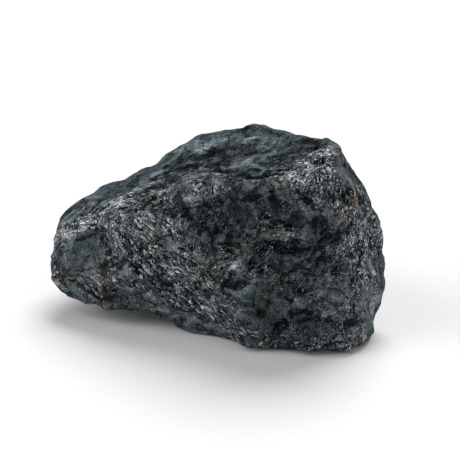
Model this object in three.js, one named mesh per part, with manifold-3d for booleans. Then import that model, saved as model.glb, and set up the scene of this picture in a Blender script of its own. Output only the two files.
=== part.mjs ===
// A rough lump of larvikite, a dark coarse-grained feldspar rock, as broken from the quarry and a little
// weathered. It is one solid: a wedge that is low and narrow at its -X end and tall and broad at its +X end,
// with a nearly level top, a steep broken front in two planes (-Y), a rounded back (+Y) and a flat
// cleavage face underneath, on which it rests. Millimetres, +Z up, origin under the middle of its box.
import * as THREE from "three";
import { ConvexHull } from "three/addons/math/ConvexHull.js";
import { mergeVertices } from "three/addons/utils/BufferGeometryUtils.js";
import Module from "manifold-3d";

// ---- driving dimensions, mm ----
const SUBDIVISIONS = 20; // of the sphere that samples the block; 20 * (n + 1)^2 triangles
const SMOOTHING_STEPS = 2; // how far the broken edges are rounded
const SWELL = 0.7; // height of the low swells of the surface
const SWELL_LENGTH = 17; // their wavelength
const LUMP = 0.55; // height of the knobs and hollows between grains
const LUMP_LENGTH = 7.5; // their wavelength
const CHIP_COUNT = 60; // small flats knocked off the edges
const CHIP_SIZE = 7; // about how far each reaches from its middle
const CHIP_SLACK = 0.2; // how proud the surface may stay there
const CENTRE = new THREE.Vector3(1, 0, 24); // inside the block; every corner is seen from here
const REACH = new THREE.Vector3(50, 26, 29); // half-axes of the ellipsoid that spreads the samples
const STONE_COLOUR = 0x3d4346;

// ---- corners of the block, mm: where its broken faces meet ----
// the widest line round the block, from its low end over the top and back along the underside
const OUTLINE = [
  [-49.5, -26.0, 12.3],
  [-49.9, -21.9, 14.8],
  [-49.3, -18.6, 18.0],
  [-48.9, -16.4, 19.0],
  [-51.0, -15.3, 20.7],
  [-51.9, -14.8, 23.2],
  [-51.8, -13.8, 26.0],
  [-49.3, -10.1, 28.8],
  [-47.8, -8.2, 30.8],
  [-45.1, -5.7, 29.2],
  [-44.2, -3.4, 33.0],
  [-41.0, -1.4, 32.2],
  [-38.8, -0.2, 33.1],
  [-37.6, 0.5, 37.3],
  [-35.8, 1.7, 38.9],
  [-32.3, 3.7, 35.4],
  [-29.0, 5.5, 33.8],
  [-27.8, 6.4, 37.9],
  [-27.2, 7.1, 42.9],
  [-24.5, 8.6, 43.3],
  [-21.7, 9.8, 43.6],
  [-20.1, 10.5, 45.8],
  [-17.7, 11.5, 46.6],
  [-15.8, 11.7, 49.0],
  [-13.3, 12.2, 51.8],
  [-9.5, 12.3, 52.1],
  [-5.4, 12.6, 48.8],
  [-2.8, 12.5, 51.2],
  [-1.1, 12.0, 56.1],
  [3.6, 11.5, 59.2],
  [9.0, 10.7, 58.5],
  [12.6, 8.6, 55.2],
  [16.4, 5.8, 51.1],
  [22.0, 3.8, 56.0],
  [27.3, 1.1, 59.0],
  [29.9, -1.5, 54.2],
  [33.4, -3.1, 62.4],
  [37.7, -3.1, 61.2],
  [39.7, -2.6, 58.8],
  [40.5, -2.5, 55.3],
  [41.9, -1.9, 53.4],
  [39.9, -2.8, 49.4],
  [42.1, -1.8, 48.0],
  [43.5, -0.8, 45.8],
  [44.7, 0.2, 43.5],
  [44.7, 0.6, 40.5],
  [44.7, 1.0, 38.0],
  [46.1, 2.1, 36.2],
  [44.8, 1.9, 32.8],
  [49.8, 4.8, 32.2],
  [51.8, 6.3, 28.9],
  [50.3, 5.6, 25.5],
  [44.1, 2.9, 22.8],
  [49.1, 4.7, 21.1],
  [52.1, 5.6, 19.0],
  [52.9, 5.5, 16.5],
  [51.5, 4.3, 13.9],
  [49.8, 2.9, 11.8],
  [49.4, 1.5, 9.0],
  [49.4, -0.5, 6.1],
  [48.9, -2.3, 4.9],
  [49.7, -3.5, 3.4],
  [51.0, -5.8, 1.5],
  [52.9, -11.3, 0.3],
  [53.5, -20.3, 0.3],
  [52.2, -25.1, 0.3],
  [49.4, -27.6, 0.3],
  [43.7, -18.6, 1.4],
  [41.3, -19.9, 3.1],
  [41.6, -27.5, 0.3],
  [39.1, -30.7, 0.3],
  [35.8, -31.3, 0.3],
  [30.6, -23.5, 1.4],
  [28.0, -24.3, 2.4],
  [25.4, -24.9, 3.3],
  [24.7, -28.7, 0.3],
  [23.7, -32.8, 0.3],
  [21.1, -35.7, 0.3],
  [16.5, -34.1, 0.3],
  [11.9, -22.9, 0.6],
  [9.7, -22.7, 3.1],
  [6.9, -22.8, 4.4],
  [4.1, -22.9, 2.8],
  [3.4, -27.0, 0.3],
  [0.4, -25.4, 0.6],
  [-0.9, -24.6, 3.3],
  [-2.3, -23.8, 5.7],
  [-4.7, -23.6, 6.5],
  [-8.6, -24.1, 4.5],
  [-12.6, -25.2, 4.1],
  [-15.1, -26.2, 6.8],
  [-17.6, -26.8, 10.8],
  [-20.9, -29.2, 11.4],
  [-21.5, -32.6, 3.5],
  [-27.8, -32.8, 3.2],
  [-32.1, -31.4, 3.3],
  [-34.9, -30.9, 3.3],
  [-38.3, -30.6, 4.0],
  [-41.3, -30.4, 4.3],
  [-44.7, -30.3, 6.1],
  [-48.2, -28.6, 9.0],
];
// the front: the brow under the top, the low end face, the two front planes and the high end face
const FRONT = [
  [-43.0, -20.7, 23.3],
  [-41.9, -17.6, 26.3],
  [-37.0, -17.6, 30.1],
  [-32.8, -17.6, 33.0],
  [-28.0, -17.7, 35.2],
  [-23.6, -17.3, 36.7],
  [-17.5, -17.4, 39.7],
  [-11.6, -18.0, 42.6],
  [-5.2, -18.5, 45.4],
  [1.7, -19.2, 47.1],
  [9.6, -21.3, 48.7],
  [16.9, -23.2, 50.4],
  [22.8, -24.4, 52.4],
  [28.5, -25.0, 55.1],
  [32.4, -24.5, 56.9],
  [35.2, -22.7, 58.5],
  [36.0, -17.2, 59.6],
  [-28.8, -22.7, 30.5],
  [-21.8, -22.0, 33.8],
  [-14.4, -21.1, 36.7],
  [-7.4, -20.7, 39.4],
  [-1.1, -22.0, 40.1],
  [5.0, -22.8, 42.1],
  [11.1, -23.9, 43.6],
  [34.4, -24.9, 53.3],
  [37.5, -22.3, 54.6],
  [38.5, -17.4, 55.9],
  [-44.5, -22.0, 18.3],
  [-37.1, -22.8, 22.3],
  [-30.7, -23.2, 25.4],
  [-25.6, -26.8, 21.7],
  [-31.4, -27.3, 17.8],
  [-39.8, -27.1, 14.5],
  [-36.4, -28.4, 11.0],
  [-29.1, -29.5, 12.0],
  [-24.4, -30.7, 12.6],
  [-23.1, -29.3, 17.9],
  [-22.0, -25.6, 29.3],
  [-18.3, -28.0, 24.5],
  [-16.3, -29.8, 17.9],
  [-17.5, -30.1, 12.2],
  [-14.1, -24.6, 31.4],
  [-11.6, -27.1, 25.2],
  [-9.8, -28.4, 18.5],
  [-10.6, -28.3, 11.5],
  [-7.1, -24.1, 33.5],
  [-4.7, -25.4, 26.3],
  [-2.7, -25.8, 18.7],
  [-3.3, -26.1, 10.6],
  [-1.1, -24.9, 32.2],
  [2.1, -24.9, 26.5],
  [3.9, -24.9, 19.4],
  [4.4, -24.6, 11.9],
  [4.6, -23.8, 5.4],
  [10.5, -25.4, 7.6],
  [15.1, -25.9, 4.9],
  [5.2, -24.7, 35.5],
  [8.2, -25.8, 30.2],
  [11.2, -27.0, 23.8],
  [13.2, -27.4, 17.5],
  [17.8, -27.9, 12.3],
  [20.7, -27.2, 6.4],
  [11.8, -24.2, 38.7],
  [15.6, -24.4, 34.5],
  [18.6, -25.6, 28.1],
  [21.3, -26.0, 21.4],
  [25.1, -26.2, 14.8],
  [27.6, -26.0, 7.7],
  [18.5, -24.1, 44.4],
  [20.6, -23.1, 39.0],
  [23.6, -22.8, 32.7],
  [26.7, -22.9, 26.6],
  [30.0, -23.4, 20.0],
  [32.8, -24.0, 13.4],
  [35.3, -23.9, 6.4],
  [26.4, -24.0, 47.2],
  [28.0, -22.0, 41.5],
  [30.7, -20.9, 35.0],
  [33.6, -20.5, 28.7],
  [36.2, -20.6, 21.9],
  [38.9, -21.0, 15.1],
  [41.5, -21.1, 7.6],
  [33.4, -23.5, 46.3],
  [36.4, -20.5, 41.6],
  [38.5, -19.3, 35.0],
  [40.7, -18.3, 27.8],
  [42.4, -17.8, 20.6],
  [44.4, -17.9, 13.7],
  [45.9, -17.9, 5.9],
  [40.1, -19.8, 51.3],
  [42.0, -18.1, 45.2],
  [43.3, -16.5, 39.0],
  [44.2, -15.2, 32.1],
  [45.2, -14.1, 25.2],
  [46.0, -13.4, 17.8],
  [46.9, -13.0, 11.0],
  [47.8, -13.2, 5.0],
  [40.7, -12.0, 53.1],
  [43.0, -9.7, 46.3],
  [44.8, -7.6, 38.7],
  [46.2, -5.7, 31.0],
  [47.2, -4.6, 23.4],
  [48.3, -5.4, 16.4],
  [48.3, -7.3, 10.3],
  [48.7, -9.7, 5.0],
];
// the top and its ledges
const TOP = [
  [-40.1, -10.5, 31.6],
  [-33.5, -8.7, 34.2],
  [-26.5, -7.6, 36.7],
  [-22.4, -4.9, 38.7],
  [-17.7, -2.2, 41.3],
  [-11.6, -2.5, 44.1],
  [-13.6, 4.6, 45.6],
  [-4.0, -4.6, 46.0],
  [-7.1, 4.9, 48.2],
  [3.5, -5.6, 47.0],
  [0.3, 3.1, 49.0],
  [0.4, 8.8, 50.8],
  [11.0, -8.1, 49.3],
  [8.8, -0.1, 51.0],
  [7.7, 7.0, 53.2],
  [17.5, -10.2, 52.0],
  [15.9, -2.0, 53.7],
  [22.8, -11.1, 54.7],
  [22.4, -4.2, 55.7],
  [28.5, -11.7, 56.8],
  [27.9, -5.6, 57.4],
];
// just behind the outline
const BEHIND = [
  [-33.2, 8.7, 34.6],
  [-28.8, 11.4, 36.9],
  [-25.8, 13.5, 42.1],
  [-21.5, 15.2, 44.5],
  [-17.4, 16.4, 47.6],
  [-11.4, 16.9, 50.7],
  [-4.9, 16.9, 49.8],
  [1.3, 15.9, 57.8],
  [10.1, 12.8, 53.9],
  [19.2, 8.0, 54.8],
  [27.0, 2.6, 53.2],
  [34.7, 0.9, 60.2],
  [37.4, 1.5, 54.4],
  [36.8, 1.2, 48.7],
  [40.3, 3.2, 45.2],
  [41.4, 4.5, 40.1],
  [42.8, 6.0, 35.9],
  [46.4, 8.7, 32.1],
  [46.9, 9.5, 25.5],
  [45.8, 8.6, 21.3],
  [49.6, 9.5, 16.8],
  [46.5, 6.8, 12.3],
  [-18.5, -21.8, 11.6],
];
// the back
const BACK = [
  [-51.5, -5.4, 21.1],
  [-47.2, 2.9, 27.5],
  [-39.9, 9.4, 29.8],
  [-32.4, 13.8, 34.7],
  [-23.0, 18.3, 38.8],
  [-14.5, 20.6, 43.5],
  [-6.2, 20.5, 47.6],
  [2.1, 20.4, 49.9],
  [11.4, 18.2, 50.5],
  [21.8, 13.3, 51.0],
  [31.2, 7.9, 48.7],
  [-51.4, -9.2, 13.0],
  [-49.3, 1.9, 17.1],
  [-43.2, 12.3, 19.4],
  [-35.0, 19.6, 21.3],
  [-25.6, 25.6, 24.9],
  [-14.7, 28.1, 28.4],
  [-3.2, 29.5, 32.5],
  [8.2, 28.2, 34.2],
  [20.4, 23.5, 34.8],
  [32.3, 16.7, 34.2],
  [40.9, 10.3, 32.5],
  [-48.7, -6.7, 9.8],
  [-44.3, 3.5, 11.0],
  [-37.2, 13.1, 10.6],
  [-29.0, 23.2, 9.6],
  [-19.0, 29.3, 8.2],
  [-8.0, 31.7, 9.9],
  [3.9, 32.0, 11.6],
  [16.8, 28.8, 12.8],
  [30.5, 22.2, 13.9],
  [40.8, 14.8, 16.2],
  [47.3, 8.8, 18.0],
  [46.4, 6.5, 8.1],
  [38.5, 14.3, 5.8],
  [48.7, -1.4, 5.8],
];
// the resting face
const UNDERSIDE = [
  [-35.4, -17.9, 6.3],
  [-26.5, -20.8, 6.3],
  [-17.4, -19.9, 4.6],
  [-8.1, -19.5, 0.7],
  [2.7, -20.8, -2.4],
  [14.0, -21.9, -2.6],
  [24.1, -21.9, -2.6],
  [34.9, -19.0, -2.6],
  [43.4, -15.2, -2.6],
  [47.1, -7.9, -2.6],
  [43.4, 1.9, -2.6],
  [36.2, 9.5, -2.6],
  [25.3, 16.7, -2.6],
  [11.1, 23.1, -2.6],
  [-2.4, 24.7, -2.6],
  [-15.1, 23.5, -2.6],
  [-25.4, 16.6, 1.2],
  [-33.6, 5.1, 5.8],
  [-38.7, -4.8, 6.3],
  [-39.1, -12.6, 6.3],
];
const CORNERS = [OUTLINE, FRONT, TOP, BEHIND, BACK, UNDERSIDE].flat();

// Planes along which the back and the underside broke: direction, and distance from CENTRE in mm.
const BREAKS = [
  [-0.62, 0.74, 0.26, 29.5],
  [0.5, 0.86, -0.1, 28.5],
  [-0.08, 0.72, 0.69, 27.4],
  [0.0, 0.78, -0.62, 28.5],
  [-0.1, 0.99, 0.08, 26.6],
  [0.86, 0.5, 0.1, 42.3],
];
const BREAK_FLATNESS = 0.85; // 1 leaves those planes dead flat

// ---- repeatable noise ----
function hash(i, j, k, seed) {
  let h = Math.imul(i | 0, 374761393) ^ Math.imul(j | 0, 668265263);
  h ^= Math.imul(k | 0, 2147483647) ^ Math.imul(seed | 0, 1274126177);
  h = Math.imul(h ^ (h >>> 13), 1103515245);
  h ^= h >>> 16;
  h = Math.imul(h, 2246822519);
  h ^= h >>> 13;
  return (h >>> 0) / 4294967296;
}

// Value noise from -1 to 1 with smooth cells of unit size.
function noise(x, y, z, seed) {
  const i = Math.floor(x),
    j = Math.floor(y),
    k = Math.floor(z);
  const ease = (t) => t * t * t * (t * (t * 6 - 15) + 10);
  const u = ease(x - i),
    v = ease(y - j),
    w = ease(z - k);
  let sum = 0;
  for (let c = 0; c < 8; c++) {
    const a = c & 1,
      b = (c >> 1) & 1,
      d = c >> 2;
    const share = (a ? u : 1 - u) * (b ? v : 1 - v) * (d ? w : 1 - w);
    sum += share * hash(i + a, j + b, k + d, seed);
  }
  return sum * 2 - 1;
}

// ---- the block: corners joined to their neighbours as seen from the centre ----
function blockFaces() {
  const spread = CORNERS.map(([x, y, z]) =>
    new THREE.Vector3(x, y, z).sub(CENTRE).divide(REACH).normalize(),
  );
  const index = new Map(spread.map((p, i) => [p, i]));
  const faces = [];
  for (const face of new ConvexHull().setFromPoints(spread).faces) {
    const ring = [];
    let edge = face.edge;
    do {
      ring.push(index.get(edge.head().point));
      edge = edge.next;
    } while (edge !== face.edge);
    for (let n = 1; n + 1 < ring.length; n++)
      faces.push([ring[0], ring[n], ring[n + 1]]);
  }
  return faces;
}

// How far the block reaches from the centre along a direction.
function reachOf(direction, faces, corners) {
  const ray = new THREE.Ray(new THREE.Vector3(), direction),
    hit = new THREE.Vector3();
  let far = 0;
  for (const [a, b, c] of faces)
    if (ray.intersectTriangle(corners[a], corners[b], corners[c], false, hit))
      far = Math.max(far, hit.length());
  return far;
}

// ---- the stone: the block sampled evenly, its edges rounded, its faces roughened and chipped ----
function stoneGeometry() {
  const corners = CORNERS.map(([x, y, z]) =>
    new THREE.Vector3(x, y, z).sub(CENTRE),
  );
  const faces = blockFaces();
  const sphere = new THREE.IcosahedronGeometry(1, SUBDIVISIONS);
  sphere.deleteAttribute("normal");
  sphere.deleteAttribute("uv");
  const g = mergeVertices(sphere, 1e-5);
  const count = g.attributes.position.count;
  const triangles = g.index.array;
  let points = [];
  for (let n = 0; n < count; n++) {
    const d = new THREE.Vector3()
      .fromBufferAttribute(g.attributes.position, n)
      .multiply(REACH)
      .normalize();
    points.push(d.clone().multiplyScalar(reachOf(d, faces, corners)));
  }
  const near = Array.from({ length: count }, () => new Set());
  for (let t = 0; t < triangles.length; t += 3)
    for (let e = 0; e < 3; e++) {
      near[triangles[t + e]].add(triangles[t + ((e + 1) % 3)]);
      near[triangles[t + e]].add(triangles[t + ((e + 2) % 3)]);
    }
  const smooth = (share) => {
    points = points.map((p, n) => {
      const mean = new THREE.Vector3();
      for (const m of near[n]) mean.add(points[m]);
      return p.clone().lerp(mean.divideScalar(near[n].size), share);
    });
  };
  const normals = () => {
    const out = points.map(() => new THREE.Vector3());
    for (let t = 0; t < triangles.length; t += 3) {
      const [a, b, c] = [0, 1, 2].map((e) => triangles[t + e]);
      const n = points[b].clone().sub(points[a]);
      n.cross(points[c].clone().sub(points[a]));
      out[a].add(n);
      out[b].add(n);
      out[c].add(n);
    }
    return out.map((n) => n.normalize());
  };
  for (let step = 0; step < SMOOTHING_STEPS; step++) smooth(0.5);
  for (const [x, y, z, distance] of BREAKS) {
    const plane = new THREE.Vector3(x, y, z).normalize();
    for (const p of points) {
      const over = p.dot(plane) - distance;
      if (over > 0) p.addScaledVector(plane, -over * BREAK_FLATNESS);
    }
  }

  // Swells and knobs, along the normals.
  let out = normals();
  points.forEach((p, n) => {
    const q = p.clone().add(CENTRE);
    const swell = noise(
      q.x / SWELL_LENGTH,
      q.y / SWELL_LENGTH,
      q.z / SWELL_LENGTH,
      11,
    );
    const lump = noise(
      q.x / LUMP_LENGTH,
      q.y / LUMP_LENGTH,
      (q.z * 1.2) / LUMP_LENGTH,
      23,
    );
    p.addScaledVector(out[n], SWELL * swell + LUMP * lump);
  });

  // Chips: each pares a small flat off what stands proud of its neighbourhood, so edges take most of them.
  out = normals();
  for (let c = 0; c < CHIP_COUNT; c++) {
    const n = Math.floor(hash(c, 5, 9, 71) * count);
    const tilt = new THREE.Vector3(
      hash(c, 1, 2, 3) - 0.5,
      hash(c, 4, 5, 6) - 0.5,
      hash(c, 7, 8, 9) - 0.5,
    ).multiplyScalar(0.5);
    const plane = out[n].clone().add(tilt).normalize();
    const size = CHIP_SIZE * (0.6 + 0.8 * hash(c, 3, 1, 4));
    const middle = points[n].clone();
    const inside = points.filter((p) => p.distanceTo(middle) < size);
    let level = CHIP_SLACK;
    for (const p of inside) level += p.dot(plane) / inside.length;
    for (const p of inside) {
      const over = p.dot(plane) - level;
      const share = Math.pow(1 - Math.pow(p.distanceTo(middle) / size, 2), 0.7);
      if (over > 0) p.addScaledVector(plane, -over * share * 0.85);
    }
  }
  smooth(0.3);
  const positions = new Float32Array(count * 3);
  points.forEach((p, n) => p.add(CENTRE).toArray(positions, n * 3));
  const made = new THREE.BufferGeometry();
  made.setAttribute("position", new THREE.BufferAttribute(positions, 3));
  made.setIndex(new THREE.BufferAttribute(new Uint32Array(triangles), 1));
  return made;
}

// ---- the resting face: the underside planed flat at z = 0 ----
const wasm = await Module();
wasm.setup();

function solid(geometry) {
  return new wasm.Manifold(
    new wasm.Mesh({
      numProp: 3,
      vertProperties: new Float32Array(geometry.attributes.position.array),
      triVerts: new Uint32Array(geometry.index.array),
    }),
  );
}

function planed(geometry) {
  const slab = new THREE.BoxGeometry(400, 400, 60);
  slab.translate(0, 0, -30);
  slab.deleteAttribute("normal");
  slab.deleteAttribute("uv");
  const cut = solid(geometry).subtract(solid(mergeVertices(slab)));
  const mesh = cut.getMesh();
  const made = new THREE.BufferGeometry();
  made.setAttribute(
    "position",
    new THREE.BufferAttribute(new Float32Array(mesh.vertProperties), 3),
  );
  made.setIndex(new THREE.BufferAttribute(new Uint32Array(mesh.triVerts), 1));
  made.computeBoundingBox(); // the origin goes under the middle of the box
  const middle = made.boundingBox.getCenter(new THREE.Vector3());
  made.translate(-middle.x, -middle.y, -made.boundingBox.min.z);
  made.computeVertexNormals();
  return made;
}

const stone = new THREE.Mesh(
  planed(stoneGeometry()),
  new THREE.MeshStandardMaterial({
    color: STONE_COLOUR,
    roughness: 0.6,
    metalness: 0,
  }),
);
stone.name = "stone";

const larvikite = new THREE.Group();
larvikite.add(stone);
export default larvikite;
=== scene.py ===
import math

import bmesh
import bpy
import numpy as np
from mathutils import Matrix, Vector


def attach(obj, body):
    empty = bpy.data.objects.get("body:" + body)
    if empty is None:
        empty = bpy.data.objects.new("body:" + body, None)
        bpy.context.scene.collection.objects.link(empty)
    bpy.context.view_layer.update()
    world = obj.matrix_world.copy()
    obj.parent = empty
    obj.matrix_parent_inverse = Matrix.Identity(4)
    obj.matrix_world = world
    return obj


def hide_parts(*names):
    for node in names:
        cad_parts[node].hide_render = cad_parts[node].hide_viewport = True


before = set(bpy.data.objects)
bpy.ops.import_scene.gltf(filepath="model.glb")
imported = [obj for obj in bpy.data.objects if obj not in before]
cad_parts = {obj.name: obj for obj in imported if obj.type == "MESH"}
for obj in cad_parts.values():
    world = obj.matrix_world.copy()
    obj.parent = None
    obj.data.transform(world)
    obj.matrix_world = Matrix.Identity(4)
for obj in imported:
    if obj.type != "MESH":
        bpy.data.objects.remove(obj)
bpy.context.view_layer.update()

MM = 0.001

# ------------------------------------------------------------------ sizes, mm
VOXEL = 0.5  # edge of the fine surface's faces
WEAR_STEPS = 8  # smoothing of the blocked-out form before it is roughened


# ------------------------------------------------------------------ repeatable noise on arrays of points
def _hash(i, j, k, seed):
    m = np.uint64(0xFFFFFFFF)
    h = (
        (i.astype(np.int64) & 0xFFFFFFFF).astype(np.uint64) * np.uint64(374761393)
        + (j.astype(np.int64) & 0xFFFFFFFF).astype(np.uint64) * np.uint64(668265263)
        + (k.astype(np.int64) & 0xFFFFFFFF).astype(np.uint64) * np.uint64(2654435761)
        + np.uint64(seed * 1274126177 & 0xFFFFFFFF)
    ) & m
    h = ((h ^ (h >> np.uint64(13))) * np.uint64(1274126177)) & m
    h = ((h ^ (h >> np.uint64(16))) * np.uint64(2246822519)) & m
    return h ^ (h >> np.uint64(15))


def _unit(h, shift=0):
    """0..1 from a hash; shift picks other bits of it."""
    g = (h * np.uint64(2654435761 + 2 * shift * 7919) + np.uint64(shift * 97)) & np.uint64(0xFFFFFFFF)
    g = g ^ (g >> np.uint64(15))
    return (g & np.uint64(0xFFFFFF)).astype(np.float64) / float(0x1000000)


def perlin(p, seed):
    """Gradient noise, about -1 to 1."""
    c = np.floor(p)
    f = p - c
    c = c.astype(np.int64)
    w = f * f * f * (f * (f * 6 - 15) + 10)
    out = np.zeros(len(p))
    for n in range(8):
        o = np.array([n & 1, (n >> 1) & 1, n >> 2])
        h = _hash(c[:, 0] + o[0], c[:, 1] + o[1], c[:, 2] + o[2], seed)
        a = _unit(h, 1) * 2 * math.pi
        z = _unit(h, 2) * 2 - 1
        s = np.sqrt(1 - z * z)
        d = f - o
        dot = d[:, 0] * np.cos(a) * s + d[:, 1] * np.sin(a) * s + d[:, 2] * z
        share = np.prod(np.where(o, w, 1 - w), axis=1)
        out += share * dot
    return out * 1.6


def fbm(p, seed, octaves=4, gain=0.5, lacunarity=2.03):
    out, amp = np.zeros(len(p)), 1.0
    for n in range(octaves):
        out += amp * perlin(p, seed + n)
        p = p * lacunarity + 13.7
        amp *= gain
    return out


def hackle(p, size, seed, bowl, tilt, step=0.0, stretch=None):
    """Scooped facets that meet in sharp ridges, as a crystalline rock breaks: height, how far from a ridge, and each facet's own tone."""
    q = p / size if stretch is None else stretch(p) / size
    c = np.floor(q).astype(np.int64)
    low = np.full(len(q), 99.0)
    second = np.full(len(q), 99.0)
    who = np.zeros(len(q), np.uint64)
    for i in (-1, 0, 1):
        for j in (-1, 0, 1):
            for k in (-1, 0, 1):
                g = c + np.array([i, j, k])
                h = _hash(g[:, 0], g[:, 1], g[:, 2], seed)
                s = g + 0.5 + 0.9 * (np.stack([_unit(h, 3), _unit(h, 4), _unit(h, 5)], 1) - 0.5)
                t = np.stack([_unit(h, 6), _unit(h, 7), _unit(h, 8)], 1) * 2 - 1
                d = q - s
                f = bowl * (d * d).sum(1) + tilt * (d * t).sum(1) + step * (_unit(h, 9) * 2 - 1)
                lower = f < low
                second = np.where(lower, low, np.minimum(second, f))
                who = np.where(lower, h, who)
                low = np.where(lower, f, low)
    return (low - 0.35 * bowl) * size, (second - low) * size, _unit(who, 10)


def along(direction, by):
    """A stretch of space along a direction, so that a pattern made in it runs that way."""
    d = np.array(direction, float)
    d /= np.linalg.norm(d)
    return lambda p: p - np.outer(p @ d, d) * (1 - 1 / by)


def smoothstep(a, b, x):
    t = np.clip((x - a) / (b - a), 0, 1)
    return t * t * (3 - 2 * t)


# ------------------------------------------------------------------ the fine surface of the stone
def vertex_array(mesh):
    a = np.empty(len(mesh.vertices) * 3)
    mesh.vertices.foreach_get("co", a)
    return a.reshape(-1, 3)


def put_vertices(mesh, a):
    mesh.vertices.foreach_set("co", np.ascontiguousarray(a, dtype=np.float32).ravel())
    mesh.update()


def normal_array(mesh):
    a = np.empty(len(mesh.vertices) * 3, np.float32)
    mesh.vertices.foreach_get("normal", a)
    return a.reshape(-1, 3).astype(float)


def neighbour_mean(mesh):
    """A function that averages values over each vertex's neighbours."""
    e = np.empty(len(mesh.edges) * 2, np.int32)
    mesh.edges.foreach_get("vertices", e)
    e = e.reshape(-1, 2)
    n = len(mesh.vertices)
    count = np.bincount(e.ravel(), minlength=n).astype(float)

    def mean(v):
        v = np.asarray(v, float)
        flat = v.reshape(n, -1)
        out = np.empty_like(flat)
        for c in range(flat.shape[1]):
            out[:, c] = np.bincount(
                e[:, 0], flat[e[:, 1], c], minlength=n
            ) + np.bincount(e[:, 1], flat[e[:, 0], c], minlength=n)
        return (out / np.maximum(count, 1)[:, None]).reshape(v.shape)

    return mean


def baked(obj):
    """The object's mesh with its modifiers applied, in a new object."""
    deps = bpy.context.evaluated_depsgraph_get()
    mesh = bpy.data.meshes.new_from_object(obj.evaluated_get(deps))
    name = obj.name
    bpy.data.objects.remove(obj)
    made = bpy.data.objects.new(name, mesh)
    bpy.context.scene.collection.objects.link(made)
    return made


def blocked_out():
    """The CAD stone's form as one even, closed, worn surface."""
    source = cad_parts["stone"]
    mesh = source.data.copy()
    mesh.materials.clear()
    bm = bmesh.new()
    bm.from_mesh(mesh)
    bmesh.ops.remove_doubles(bm, verts=bm.verts, dist=2e-6)
    bm.to_mesh(mesh)
    bm.free()
    obj = bpy.data.objects.new("larvikite_lump", mesh)
    bpy.context.scene.collection.objects.link(obj)
    sub = obj.modifiers.new("round", "SUBSURF")
    sub.levels = sub.render_levels = 2
    remesh = obj.modifiers.new("even", "REMESH")
    remesh.mode = "VOXEL"
    remesh.voxel_size = VOXEL * MM
    wear = obj.modifiers.new("wear", "SMOOTH")
    wear.factor, wear.iterations = 0.5, WEAR_STEPS
    obj = baked(obj)
    for a in list(obj.data.attributes):
        if a.name not in ("position", ".edge_verts", ".corner_vert", ".corner_edge"):
            try:
                obj.data.attributes.remove(a)
            except RuntimeError:
                pass
    return obj


stone = blocked_out()
mesh = stone.data

P = vertex_array(mesh) / MM
N = normal_array(mesh)


def reach(*points):
    """Distance in mm of every vertex from a line through these points of the stone."""
    pts = [np.array(q, float) for q in points]
    if len(pts) == 1:
        return np.linalg.norm(P - pts[0], axis=1)
    best = np.full(len(P), 1e9)
    for a, b in zip(pts, pts[1:]):
        d = b - a
        t = np.clip((P - a) @ d / (d @ d), 0, 1)
        best = np.minimum(best, np.linalg.norm(P - a - t[:, None] * d, axis=1))
    return best


def patch(radius, *points, soft=0.6):
    """1 on the patch around these points, falling to 0 past its radius."""
    return 1 - smoothstep(radius * (1 - soft), radius * (1 + soft * 0.6), reach(*points))


# ------------------------------------------------------------------ where things lie on the stone, mm
BROW = (
    (-43.7, -18.7, 22.7), (-33.5, -15.7, 32.4), (-23.5, -16.6, 36.6), (-14.5, -14.7, 41.6), (-5.7, -16.9, 45.0),
    (5.5, -19.2, 47.5), (16.6, -21.7, 50.1), (22.3, -22.3, 51.9), (27.8, -22.6, 54.5), (35.4, -20.1, 56.4), (33.4, -5.8, 56.8),
)
LEFT_BAND = ((-45.9, -17.3, 21.9), (-41.0, -17.8, 26.0), (-36.2, -17.0, 29.6), (-31.2, -17.4, 32.3), (-23.2, -17.2, 36.5))
BROW_MID = ((-10.7, -17.8, 42.1), (-1.9, -19.4, 43.8), (9.2, -21.8, 46.1))
SHOULDER = ((32.4, -23.6, 52.2), (36.5, -20.5, 55.6), (36.9, -16.4, 57.0), (33.7, -6.5, 56.4))
FRONT_LEFT = ((-23.6, -21.8, 33.3), (-15.0, -26.0, 28.2), (-5.5, -25.7, 23.4), (0.7, -25.5, 14.9))
FRONT_LOW = ((-29.0, -27.0, 11.0), (-12.7, -25.9, 12.0), (3.0, -24.8, 8.0), (16.0, -24.3, 5.0))
LEFT_FACET = ((-37.4, -24.8, 18.1), (-33.0, -24.1, 21.0))
DARK_FRONT = ((8.0, -23.0, 38.0), (22.0, -22.7, 38.0), (32.0, -20.5, 34.0), (30.0, -22.0, 24.0), (30.0, -24.0, 10.0))
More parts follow.
